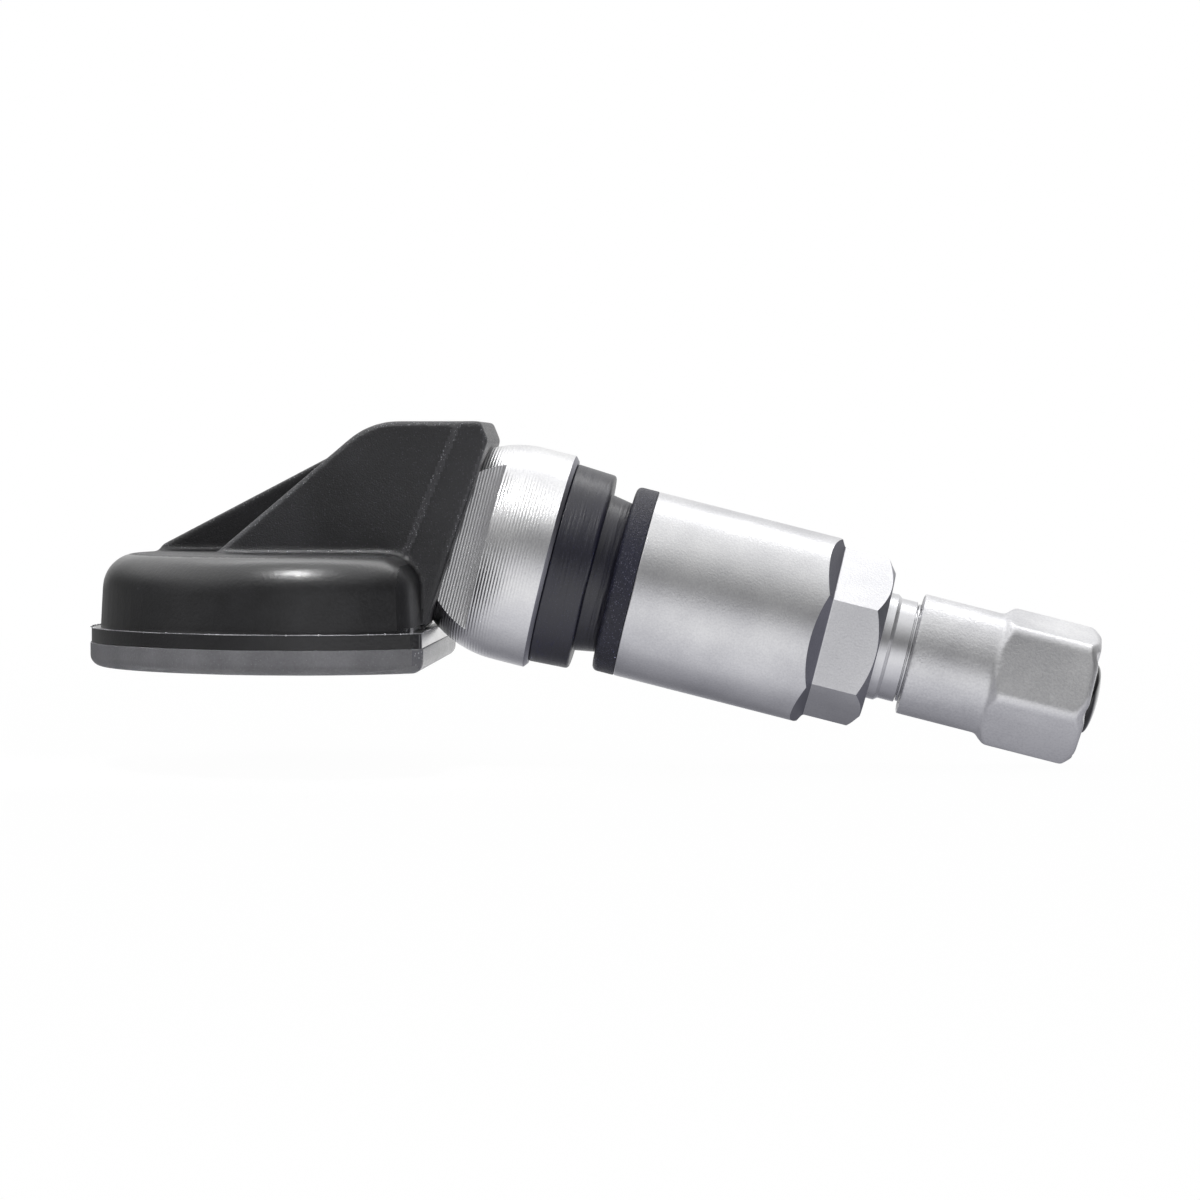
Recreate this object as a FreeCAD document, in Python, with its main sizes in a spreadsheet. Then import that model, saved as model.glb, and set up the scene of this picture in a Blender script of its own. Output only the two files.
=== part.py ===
import FreeCAD, Part
import math
import os

import Sketcher

# Tyre pressure sensor with an adjustable clamp-in valve.
#
# World frame: the base of the housing is level, +Z is up and +X runs towards the
# valve cap. The origin is the middle of the grommet's seat against the wheel rim.
# The valve pieces are drawn level along their own X axis, with x = 0 at that seat,
# and their bodies are then tilted down by stem_tilt about Y.

os.makedirs("parts", exist_ok=True)
doc = FreeCAD.newDocument("tyre_pressure_sensor")
Vector = FreeCAD.Vector

SIZES = [
    # valve axis and ball joint
    ("stem_tilt", 14.25, "slope of the valve below the base plane, degrees"),
    ("ball_x", -6.14, "centre of the ball head, along the valve from the seat"),
    ("ball_r", 8.73, "radius of the ball head"),
    ("flat_half", 5.0, "half distance across the two cheek flats"),
    ("flat_back", 2.4, "shoulder of the cheek flats behind the ball's centre"),
    ("head_face_x", -3.25, "face of the ball head that carries the grommet"),
    ("head_edge", 0.12, "edge break of the ball head"),
    # valve stem
    ("shank_r", 4.34, "threaded shank for the nut"),
    ("shank_proud", 0.7, "shank beyond the nut"),
    ("neck_slope", 0.3, "slope from the shank down to the neck"),
    ("neck_r", 4.11, "turned neck between nut and cap"),
    ("neck_length", 1.3, "length of the turned neck"),
    ("lip_groove", 0.1, "groove in front of the thin lip"),
    ("lip_step", 0.13, "height of the thin lip over the cap thread"),
    ("lip_length", 0.3, "neck's end to the end of the thin lip"),
    ("tip_r", 3.85, "cap thread, major radius"),
    ("tip_length", 11.7, "length of the cap thread"),
    ("tip_edge", 0.25, "edge break at the open end"),
    ("core_bore_depth", 7.26, "depth of the bore for the core's thread"),
    ("cone_length", 1.0, "length of the sealing cone"),
    ("barrel_bore_depth", 20.36, "depth of the bore around the core's barrel"),
    ("air_bore_r", 1.3, "air passage"),
    ("screw_bore_back", 2.06, "bottom of the screw hole behind the ball's centre"),
    # grommet
    ("grommet_r", 8.14, "flange radius at the ball head"),
    ("grommet_seat_r", 7.96, "flange radius at the rim seat"),
    ("grommet_gap", 0.04, "clearance between shank and grommet"),
    ("grommet_neck_r", 6.44, "neck radius at the flange"),
    ("grommet_mid_r", 6.12, "neck radius at the washer"),
    ("grommet_tip_r", 5.65, "neck radius at its end"),
    ("grommet_in_nut", 0.6, "neck inside the nut"),
    # washer and nut
    ("rim_room", 1.81, "seat to washer, the thickness of a thin rim"),
    ("washer_thick", 1.79, "thickness of the washer"),
    ("washer_proud", 0.01, "washer beyond the nut's barrel"),
    ("washer_gap", 0.08, "clearance around the grommet's neck"),
    ("washer_round", 0.45, "rounding of the washer's inner rim"),
    ("nut_r", 7.575, "barrel radius"),
    ("nut_length", 19.96, "length of the nut"),
    ("nut_edge", 0.15, "edge break of the barrel"),
    ("nut_end_r", 5.9, "radius of the end face inside the chamfer"),
    ("nut_chamfer", 1.3, "length of the end chamfer"),
    ("nut_flat", 6.025, "half distance across the flats"),
    ("nut_flat_length", 4.44, "length of the milled flats"),
    ("nut_runout", 1.0, "length of the slanted run-out"),
    ("nut_runout_round", 0.3, "radius of the cutter in the run-out"),
    ("nut_gap", 0.08, "clearance that stands in for the nut's thread"),
    ("nut_mouth", 0.38, "countersink at the outer face"),
    ("relief_gap", 0.3, "counterbore around the grommet's neck"),
    ("relief_depth", 0.5, "counterbore beyond the grommet's neck"),
    ("nut_turn", 36.0, "clocking of the hexagon, degrees"),
    # cap
    ("cap_seat_gap", 0.07, "lip of the stem to the mouth of the cap"),
    ("cap_r", 4.92, "skirt radius"),
    ("cap_edge", 0.12, "edge break of the skirt"),
    ("cap_skirt", 6.63, "length of the plain skirt"),
    ("cap_hex_corner", 5.92, "corner radius of the sharp hexagon"),
    ("cap_corner_round", 0.95, "rounding along the hexagon"),
    ("cap_end_round", 0.7, "rounding of the hexagon's two ends"),
    ("cap_gap", 0.07, "clearance that stands in for the cap's thread"),
    ("cap_mouth_step", 0.33, "plain mouth around the thread"),
    ("cap_mouth_length", 1.97, "length of the plain mouth"),
    ("cap_end_wall", 1.25, "wall between the bore and the disc"),
    ("cap_turn", 14.7, "clocking of the cap's hexagon, degrees"),
    ("disc_r", 2.8, "radius of the end disc"),
    ("disc_gap", 0.03, "clearance around the end disc"),
    ("disc_depth", 0.71, "depth of the disc's recess"),
    ("disc_crown", 0.65, "height of the domed disc over the cap"),
    ("seal_gap", 0.04, "open end of the stem to the cap seal"),
    ("seal_thick", 1.1, "thickness of the cap seal"),
    ("seal_back_gap", 0.05, "cap seal to the bottom of the cap"),
    ("seal_side_gap", 0.12, "clearance around the cap seal"),
    ("seal_bore_r", 1.6, "hole of the cap seal"),
    # valve core
    ("core_depth", 0.56, "outer end of the core inside the stem"),
    ("core_gap", 0.06, "clearance that stands in for the core's thread"),
    ("core_thread_r", 2.66, "core thread radius"),
    ("core_thread_length", 4.0, "length of the core thread"),
    ("core_taper", 0.6, "taper under the thread"),
    ("core_barrel_r", 1.75, "barrel radius"),
    ("barrel_gap", 0.2, "clearance around the barrel"),
    ("core_length", 12.7, "length of the core"),
    ("core_flat", 1.95, "half width across the key flats"),
    ("core_flat_length", 1.4, "length of the key flats"),
    ("chamber_depth", 4.3, "ledge that carries the spring"),
    ("pin_r", 0.6, "pin radius"),
    ("pin_gap", 0.2, "air gap around the pin"),
    ("pin_proud", 0.45, "pin beyond the core"),
    ("collar_depth", 1.1, "spring side of the pin's collar inside the core"),
    ("collar_thick", 0.4, "thickness of the collar"),
    ("collar_gap", 0.1, "clearance around the collar"),
    ("cup_length", 1.07, "length of the cup"),
    ("cup_seat_gap", 0.03, "cup to the barrel's end"),
    ("cup_gap", 0.25, "air gap around the cup"),
    ("spring_r", 1.08, "mean radius of the spring"),
    ("spring_wire", 0.15, "half thickness of the spring's wire"),
    ("spring_gap", 0.22, "clearance around the spring"),
    ("spring_end_gap", 0.02, "clearance at the spring's two ends"),
    ("spring_turns", 4.0, "turns of the spring"),
    ("core_seal_above", 0.7, "core seal above the cone"),
    ("core_seal_below", 0.65, "core seal in the cone"),
    ("core_seal_gap", 0.02, "core seal to the barrel"),
    ("core_seal_wall_gap", 0.06, "core seal to the stem"),
    # fixing screw and its saddle washer
    ("screw_r", 1.96, "shank radius"),
    ("screw_gap", 0.04, "clearance that stands in for the screw's thread"),
    ("screw_tip_gap", 0.4, "end of the shank to the bottom of its hole"),
    ("screw_head_r", 3.4, "head radius"),
    ("screw_head_height", 2.4, "head height"),
    ("screw_edge", 0.4, "edge break of the head"),
    ("screw_air_r", 0.7, "air hole through the screw"),
    ("socket_depth", 1.6, "depth of the six-lobe socket"),
    ("socket_big_r", 1.95, "socket radius at the lobes"),
    ("socket_small_r", 1.42, "socket radius between the lobes"),
    ("saddle_gap", 0.05, "cradle to saddle washer"),
    ("saddle_thick", 1.2, "thickness of the saddle washer at its middle"),
    ("saddle_depth", 2.2, "thickness of the saddle washer at its horns"),
    ("saddle_side_gap", 1.1, "saddle washer to the wings"),
    ("saddle_half_z", 3.3, "half height along the slot"),
    ("saddle_bore_gap", 0.05, "clearance around the screw's shank"),
    # housing plan, measured on the grey base
    ("plan_left_x", -15.4, "centre of the wide rear arc"),
    ("plan_left_r", 24.9, "radius of the wide rear arc"),
    ("plan_end_x", -22.0, "centre of both end arcs, along X"),
    ("plan_end_r", 12.5, "radius of both end arcs"),
    ("plan_front_x", -12.29, "front edge of the base"),
    ("plan_corner_r", 1.2, "front corners of the base"),
    ("rim_inset", 0.1, "rim inside the base outline"),
    ("dome_inset", 0.8, "dome wall inside the base outline"),
    ("dome_front", 0.81, "dome's front wall behind the base's front edge"),
    ("dome_corner_r", 3.5, "front corners of the dome"),
    ("dome_round", 2.8, "rounding of the dome's top edge"),
    ("dome_draft", 3.0, "draft of the dome wall, degrees"),
    ("cavity_inset", 2.3, "inner wall inside the base outline"),
    ("front_wall", 4.11, "inner space behind the base's front edge"),
    ("cavity_corner_r", 1.2, "front corners of the inner space"),
    # housing heights
    ("base_z", -7.38, "underside of the base"),
    ("joint_z", -5.45, "parting plane of base and rim"),
    ("rim_z", -4.33, "top of the rim"),
    ("dome_z", 1.6, "top of the dome"),
    ("roof", 1.4, "roof over the inner space"),
    ("base_round", 0.9, "rounding of the base's lower edge"),
    # head wall
    ("top_z", 12.08, "top of the head wall and the wings"),
    ("wall_step", 0.5, "head wall proud of the wings"),
    ("wall_foot", 0.76, "foot of the head wall behind the base's front edge"),
    ("wall_lean", 5.15, "forward lean of the head wall up to its bevel"),
    ("wall_bevel", 1.5, "height of the bevel"),
    ("wall_bevel_back", 0.6, "depth of the bevel"),
    ("wall_top", 1.75, "level top of the head wall"),
    ("wall_heel", 6.75, "rear of the head wall, from the top down to the dome"),
    ("sink", 0.3, "how far the wall's foot reaches into the rim"),
    # wings, cradle and screw channel
    ("wing_half_y", 8.0, "outer face of the wings"),
    ("wing_thick", 2.5, "thickness of the wings"),
    ("near_foot_x", -29.6, "foot of the near wing"),
    ("near_top", 7.0, "level top of the near wing"),
    ("far_foot_x", -36.0, "foot of the far wing"),
    ("far_nose", 0.5, "slope of the far wing's nose"),
    ("far_nose_z", 2.1, "height of the far wing's nose"),
    ("far_top", 6.15, "level top of the far wing"),
    ("wing_round", 6.0, "rounding where a wing meets the top"),
    ("edge_round", 0.35, "edge break of the mouldings"),
    ("socket_gap", 0.07, "clearance between ball head and socket"),
    ("cradle_wall", 2.2, "wall of the cradle around the socket"),
    ("cheek_gap", 0.06, "clearance between the ears and the cheek flats"),
    ("slot_gap", 0.24, "clearance between screw and slot"),
    ("slope_low", 8.0, "smallest slope of the valve, degrees"),
    ("slope_high", 30.0, "largest slope of the valve, degrees"),
    ("channel_floor_z", -0.7, "floor of the screw channel"),
    ("channel_room", 1.41, "channel behind the screw's head"),
    ("channel_slope", 2.2, "slope at the channel's end"),
    ("channel_wall", 1.2, "wall under the channel"),
    ("port_r", 0.6, "radius of the air port"),
    # inside the housing
    ("floor", 1.08, "floor of the base"),
    ("lip_height", 0.75, "height of the base's locating lip"),
    ("lip_gap", 0.06, "clearance around the lip"),
    ("lip_wall", 1.04, "wall of the lip"),
    ("board_gap", 0.2, "clearance around the circuit board"),
    ("board_thick", 0.8, "thickness of the circuit board"),
    ("cell_r", 6.25, "coin cell radius"),
    ("cell_gap", 2.2, "coin cell to the front of the inner space"),
    ("cell_height", 2.5, "coin cell height"),
    ("cell_edge", 0.3, "edge break of the coin cell"),
    ("tab_thick", 0.15, "thickness of the cell's contact tabs"),
    ("tab_width", 3.0, "width of the contact tabs"),
    ("tab_reach", 3.0, "contact tabs under and over the cell"),
    ("tab_gap", 0.3, "bent tab to the cell's side"),
    ("chip_side", 5.0, "side of the pressure chip"),
    ("chip_height", 2.0, "height of the pressure chip"),
    ("crystal_length", 3.2, "length of the crystal"),
    ("crystal_width", 2.5, "width of the crystal"),
    ("crystal_height", 0.8, "height of the crystal"),
    ("coil_length", 7.8, "length of the wake coil"),
    ("coil_width", 2.6, "width and height of the wake coil"),
    ("coil_flange", 1.2, "end flanges of the wake coil"),
    ("coil_step", 0.3, "winding below the flanges"),
    ("antenna_height", 4.2, "height of the radio antenna"),
    ("antenna_wire", 0.4, "wire radius of the radio antenna"),
    ("tube_r", 1.6, "outside radius of the port's rubber tube"),
    ("tube_bore_r", 0.8, "bore of the port's rubber tube"),
]
VALUES = {name: value for name, value, note in SIZES}

# Sizes that follow from the ones above, each as a sum of them.
FOLLOW = {
    "flat_end_x": "ball_x - flat_back",
    "washer_x": "rim_room",
    "nut_x": "washer_x + washer_thick",
    "grommet_end_x": "nut_x + grommet_in_nut",
    "grommet_bore_r": "shank_r + grommet_gap",
    "washer_r": "nut_r + washer_proud",
    "washer_bore_r": "grommet_mid_r + washer_gap",
    "nut_end_x": "nut_x + nut_length",
    "nut_chamfer_x": "nut_end_x - nut_chamfer",
    "nut_flat_x": "nut_end_x - nut_flat_length",
    "nut_runout_x": "nut_flat_x - nut_runout",
    "nut_bore_r": "shank_r + nut_gap",
    "nut_mouth_r": "nut_bore_r + nut_mouth",
    "nut_relief_r": "grommet_tip_r + relief_gap",
    "nut_relief_x": "grommet_end_x + relief_depth",
    "shank_end_x": "nut_end_x + shank_proud",
    "neck_x": "shank_end_x + neck_slope",
    "neck_end_x": "neck_x + neck_length",
    "lip_r": "tip_r + lip_step",
    "lip_end_x": "neck_end_x + lip_length",
    "tip_end_x": "lip_end_x + tip_length",
    "core_bore_r": "core_thread_r + core_gap",
    "core_bore_end_x": "tip_end_x - core_bore_depth",
    "cone_end_x": "core_bore_end_x - cone_length",
    "barrel_bore_r": "core_barrel_r + barrel_gap",
    "barrel_bore_end_x": "tip_end_x - barrel_bore_depth",
    "cap_x": "lip_end_x + cap_seat_gap",
    "cap_hex_x": "cap_x + cap_skirt",
    "cap_bore_r": "tip_r + cap_gap",
    "cap_mouth_r": "cap_bore_r + cap_mouth_step",
    "cap_mouth_end_x": "cap_x + cap_mouth_length",
    "seal_x": "tip_end_x + seal_gap",
    "seal_r": "cap_bore_r - seal_side_gap",
    "seal_end_x": "seal_x + seal_thick",
    "cap_bore_end_x": "seal_end_x + seal_back_gap",
    "disc_seat_x": "cap_bore_end_x + cap_end_wall",
    "disc_rim_x": "disc_seat_x + disc_depth",
    "disc_tip_x": "disc_rim_x + disc_crown",
    "core_top_x": "tip_end_x - core_depth",
    "core_thread_end_x": "core_top_x - core_thread_length",
    "core_end_x": "core_top_x - core_length",
    "core_flat_x": "core_top_x - core_flat_length",
    "chamber_r": "spring_r + spring_wire + spring_gap",
    "chamber_end_x": "core_top_x - chamber_depth",
    "pin_bore_r": "pin_r + pin_gap",
    "pin_tip_x": "core_top_x + pin_proud",
    "collar_x": "core_top_x - collar_depth",
    "collar_end_x": "collar_x + collar_thick",
    "collar_r": "chamber_r - collar_gap",
    "cup_end_x": "core_end_x - cup_seat_gap",
    "cup_x": "cup_end_x - cup_length",
    "cup_r": "barrel_bore_r - cup_gap",
    "core_seal_x": "core_bore_end_x + core_seal_above",
    "core_seal_end_x": "core_bore_end_x - core_seal_below",
    "core_seal_r": "core_bore_r - core_seal_wall_gap",
    "socket_r": "ball_r + socket_gap",
    "cradle_r": "socket_r + cradle_wall",
    "saddle_r": "cradle_r + saddle_gap",
    "saddle_x": "ball_x - saddle_r - saddle_thick",
    "saddle_inner_x": "saddle_x + saddle_depth",
    "saddle_half_y": "wing_inner_y - saddle_side_gap",
    "screw_head_x": "saddle_x - screw_head_height",
    "screw_bore_r": "screw_r + screw_gap",
    "screw_bore_end_x": "ball_x - screw_bore_back",
    "screw_end_x": "screw_bore_end_x - screw_tip_gap",
    "slot_half": "screw_r + slot_gap",
    "cheek_half": "flat_half + cheek_gap",
    "dome_front_x": "plan_front_x - dome_front",
    "cavity_front_x": "plan_front_x - front_wall",
    "ceiling_z": "dome_z - roof",
    "wall_half_y": "wing_half_y + wall_step",
    "wall_foot_x": "plan_front_x - wall_foot",
    "wall_foot_z": "rim_z - sink",
    "wall_brow_x": "wall_foot_x + wall_lean",
    "wall_brow_z": "top_z - wall_bevel",
    "wall_top_x": "wall_brow_x - wall_bevel_back",
    "wall_back_x": "wall_top_x - wall_top",
    "wall_heel_x": "wall_back_x - wall_heel",
    "wing_inner_y": "wing_half_y - wing_thick",
    "near_top_x": "wall_back_x - near_top",
    "far_top_x": "wall_back_x - far_top",
    "channel_end_x": "screw_head_x - channel_room",
    "floor_z": "base_z + floor",
    "lip_z": "joint_z + lip_height",
    "lip_inset": "cavity_inset + lip_gap",
    "lip_front_x": "cavity_front_x - lip_gap",
    "tray_inset": "lip_inset + lip_wall",
    "tray_front_x": "lip_front_x - lip_wall",
    "board_inset": "tray_inset + board_gap",
    "board_front_x": "tray_front_x - board_gap",
    "board_z": "floor_z + board_thick",
    "room_r": "plan_left_r - cavity_inset",
    "cell_x": "cavity_front_x - cell_gap - cell_r",
    "cell_y": "0.33*room_r",
    "cell_z": "board_z + tab_thick",
    "cell_top_z": "cell_z + cell_height",
    "port_x": "plan_left_x - 0.69*room_r",
    "port_y": "- 0.19*room_r",
    "chip_z": "board_z + chip_height",
    "crystal_x": "plan_left_x - 0.38*room_r",
    "crystal_y": "- 0.36*room_r",
    "coil_x": "plan_left_x - 0.53*room_r",
    "coil_y": "- 0.505*room_r",
}


def make_sheet():
    """Spreadsheet that owns every size of the model."""
    table = doc.addObject("Spreadsheet::Sheet", "sizes")
    table.Label = "sizes"
    for row, (name, value, note) in enumerate(SIZES, start=1):
        table.set("A%d" % row, note)
        table.set("B%d" % row, str(value))
        table.setAlias("B%d" % row, name)
    doc.recompute()
    return table


sheet = make_sheet()


def number(text):
    """Value of a sum of sizes and plain numbers, such as 'nut_x - 0.5'."""
    total = 0.0
    sign = 1.0
    for word in text.split():
        if word in "+-":
            sign = -1.0 if word == "-" else 1.0
            continue
        factor, star, name = word.rpartition("*")
        if name in FOLLOW:
            amount = number(FOLLOW[name])
        elif name in VALUES:
            amount = VALUES[name]
        else:
            amount = float(name)
        total += sign * amount * (float(factor) if factor else 1.0)
        sign = 1.0
    return total


def bound(text):
    """The same sum as an expression that reads the spreadsheet."""
    words = []
    for word in text.split():
        factor, star, name = word.rpartition("*")
        if name in FOLLOW:
            name = "(" + bound(FOLLOW[name]) + ")"
        elif name in VALUES:
            name = "sizes." + name
        words.append(factor + star + name)
    return " ".join(words)


def bind(item, path, text):
    """Tie one property of an object to a sum of sizes."""
    item.setExpression(path, bound(text))


def tilted(turn=0.0):
    """Placement of a valve piece: clocked about its own axis, then tilted."""
    slope = FreeCAD.Rotation(Vector(0, 1, 0), VALUES["stem_tilt"])
    clock = FreeCAD.Rotation(Vector(1, 0, 0), turn)
    return FreeCAD.Placement(Vector(0, 0, 0), slope.multiply(clock))


def new_body(name, on_valve=False, turn=0.0):
    """Empty body, in the world frame or on the valve's axis."""
    body = doc.addObject("PartDesign::Body", name)
    body.Label = name
    if on_valve:
        body.Placement = tilted(turn)
    return body


def sketch_on(body, role, offset="0"):
    """Sketch on one of the body's own origin planes, moved along its normal."""
    found = [item for item in body.Origin.OriginFeatures if item.Role == role]
    sketch = body.newObject("Sketcher::SketchObject", body.Name + "_sketch")
    sketch.AttachmentSupport = [(found[0], "")]
    sketch.MapMode = "FlatFace"
    if number(offset) != 0.0:
        shift = Vector(0, 0, number(offset))
        sketch.AttachmentOffset = FreeCAD.Placement(shift, FreeCAD.Rotation())
        bind(sketch, "AttachmentOffset.Base.z", offset)
    return sketch


def fix_point(sketch, item, end, across, up):
    """Fix one point of a sketch at a pair of sums of sizes."""
    for kind, text, axis in (("DistanceX", across, -2), ("DistanceY", up, -1)):
        value = number(text)
        if abs(value) < 1e-9:
            sketch.addConstraint(Sketcher.Constraint("PointOnObject", item, end, axis))
            continue
        rule = Sketcher.Constraint(kind, -1, 1, item, end, value)
        index = sketch.addConstraint(rule)
        bind(sketch, "Constraints[%d]" % index, text)


def polygon(sketch, corners):
    """Closed outline through corners given as pairs of sums of sizes."""
    points = [Vector(number(across), number(up), 0) for across, up in corners]
    count = len(points)
    for index, point in enumerate(points):
        line = Part.LineSegment(point, points[(index + 1) % count])
        sketch.addGeometry(line, False)
    for index in range(count):
        after = (index + 1) % count
        sketch.addConstraint(Sketcher.Constraint("Coincident", index, 2, after, 1))
    for index, (across, up) in enumerate(corners):
        fix_point(sketch, index, 1, across, up)


def circle(sketch, across, up, radius):
    """Circle with its centre and radius tied to sizes."""
    centre = Vector(number(across), number(up), 0)
    item = sketch.addGeometry(Part.Circle(centre, Vector(0, 0, 1), number(radius)), False)
    fix_point(sketch, item, 3, across, up)
    index = sketch.addConstraint(Sketcher.Constraint("Radius", item, number(radius)))
    bind(sketch, "Constraints[%d]" % index, radius)


def plan(sketch, inset, front, corner):
    """Outline of the housing seen from above, moved inwards by an inset."""
    left_x, left_r = number("plan_left_x"), number("plan_left_r - " + inset)
    end_x, end_r = number("plan_end_x"), number("plan_end_r - " + inset)
    front_x, corner_r = number(front), number(corner)
    end_y = math.sqrt((left_r - end_r) ** 2 - (end_x - left_x) ** 2)
    corner_x = front_x - corner_r
    corner_y = end_y + math.sqrt((end_r - corner_r) ** 2 - (corner_x - end_x) ** 2)
    lean = math.atan2(end_y, end_x - left_x)
    reach = math.atan2(corner_y - end_y, corner_x - end_x)
    up = Vector(0, 0, 1)

    def arc(x, y, radius, start, end):
        ring = Part.Circle(Vector(x, y, 0), up, radius)
        return sketch.addGeometry(Part.ArcOfCircle(ring, start, end), False)

    low, high = Vector(front_x, -corner_y, 0), Vector(front_x, corner_y, 0)
    sketch.addGeometry(Part.LineSegment(low, high), False)
    arc(corner_x, corner_y, corner_r, 0.0, reach)
    arc(end_x, end_y, end_r, reach, lean)
    arc(left_x, 0.0, left_r, lean, 2 * math.pi - lean)
    arc(end_x, -end_y, end_r, 2 * math.pi - lean, 2 * math.pi - reach)
    arc(corner_x, -corner_y, corner_r, 2 * math.pi - reach, 2 * math.pi)
    for index in range(6):
        after = (index + 1) % 6
        sketch.addConstraint(Sketcher.Constraint("Tangent", index, 2, after, 1))
    sketch.addConstraint(Sketcher.Constraint("Symmetric", 0, 1, 0, 2, -1))
    sketch.addConstraint(Sketcher.Constraint("PointOnObject", 3, 3, -1))
    sketch.addConstraint(Sketcher.Constraint("Equal", 2, 4))
    sketch.addConstraint(Sketcher.Constraint("Equal", 1, 5))
    rules = [
        (Sketcher.Constraint("Radius", 3, left_r), "plan_left_r - " + inset),
        (Sketcher.Constraint("Radius", 2, end_r), "plan_end_r - " + inset),
        (Sketcher.Constraint("Radius", 1, corner_r), corner),
        (Sketcher.Constraint("DistanceX", -1, 1, 3, 3, left_x), "plan_left_x"),
        (Sketcher.Constraint("DistanceX", -1, 1, 2, 3, end_x), "plan_end_x"),
        (Sketcher.Constraint("DistanceX", -1, 1, 0, 1, front_x), front),
    ]
    for rule, text in rules:
        index = sketch.addConstraint(rule)
        bind(sketch, "Constraints[%d]" % index, text)


def spin(body, sketch, cut=False):
    """Turn a sketch a full round about the body's X axis."""
    kind = "PartDesign::Groove" if cut else "PartDesign::Revolution"
    feature = body.newObject(kind, body.Name + ("_groove" if cut else "_turned"))
    feature.Profile = sketch
    feature.ReferenceAxis = (sketch, ["H_Axis"])
    feature.Angle = 360.0
    body.Tip = feature
    sketch.Visibility = False
    doc.recompute()
    return feature


def pad(body, sketch, length, middle=False, reverse=False):
    """Straight extrusion of a sketch."""
    feature = body.newObject("PartDesign::Pad", body.Name + "_pad")
    feature.Profile = sketch
    feature.Length = number(length)
    bind(feature, "Length", length)
    feature.Midplane = middle
    feature.Reversed = reverse
    body.Tip = feature
    doc.recompute()
    return feature


def pocket(body, sketch, length=None, middle=False, reverse=False):
    """Cut a sketch out of the body, through everything if no length is given."""
    before = body.Tip.Shape.Volume
    feature = body.newObject("PartDesign::Pocket", body.Name + "_pocket")
    feature.Profile = sketch
    if length is None:
        feature.Type = 1
    else:
        feature.Length = number(length)
        bind(feature, "Length", length)
    feature.Midplane = middle
    feature.Reversed = reverse
    body.Tip = feature
    doc.recompute()
    if feature.Shape.Volume > before - 1e-6:
        feature.Reversed = not reverse
        doc.recompute()
    return feature


def ring_pattern(body, feature, count):
    """Repeat a feature about the body's X axis."""
    axes = [item for item in body.Origin.OriginFeatures if item.Role == "X_Axis"]
    pattern = body.newObject("PartDesign::PolarPattern", body.Name + "_ring")
    pattern.Originals = [feature]
    pattern.Axis = (axes[0], [""])
    pattern.Angle = 360.0
    pattern.Occurrences = count
    body.Tip = pattern
    doc.recompute()
    return pattern


def round_edges(body, radius, wanted):
    """Round the edges of the body's tip that pass the test."""
    base = body.Tip
    names = []
    for index, edge in enumerate(base.Shape.Edges, start=1):
        if wanted(edge):
            names.append("Edge%d" % index)
    feature = body.newObject("PartDesign::Fillet", body.Name + "_round")
    feature.Base = (base, names)
    feature.Radius = number(radius)
    bind(feature, "Radius", radius)
    body.Tip = feature
    doc.recompute()
    return feature


def level(edge, height):
    """True for an edge that lies wholly at one height."""
    box = edge.BoundBox
    return abs(box.ZMin - height) < 1e-3 and abs(box.ZMax - height) < 1e-3


def across_x(edge, x):
    """True for an edge that lies wholly at one X."""
    box = edge.BoundBox
    return abs(box.XMin - x) < 1e-3 and abs(box.XMax - x) < 1e-3


def at_y(edge, y):
    """True for an edge that lies wholly at one Y."""
    box = edge.BoundBox
    return abs(box.YMin - y) < 1e-3 and abs(box.YMax - y) < 1e-3


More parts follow.
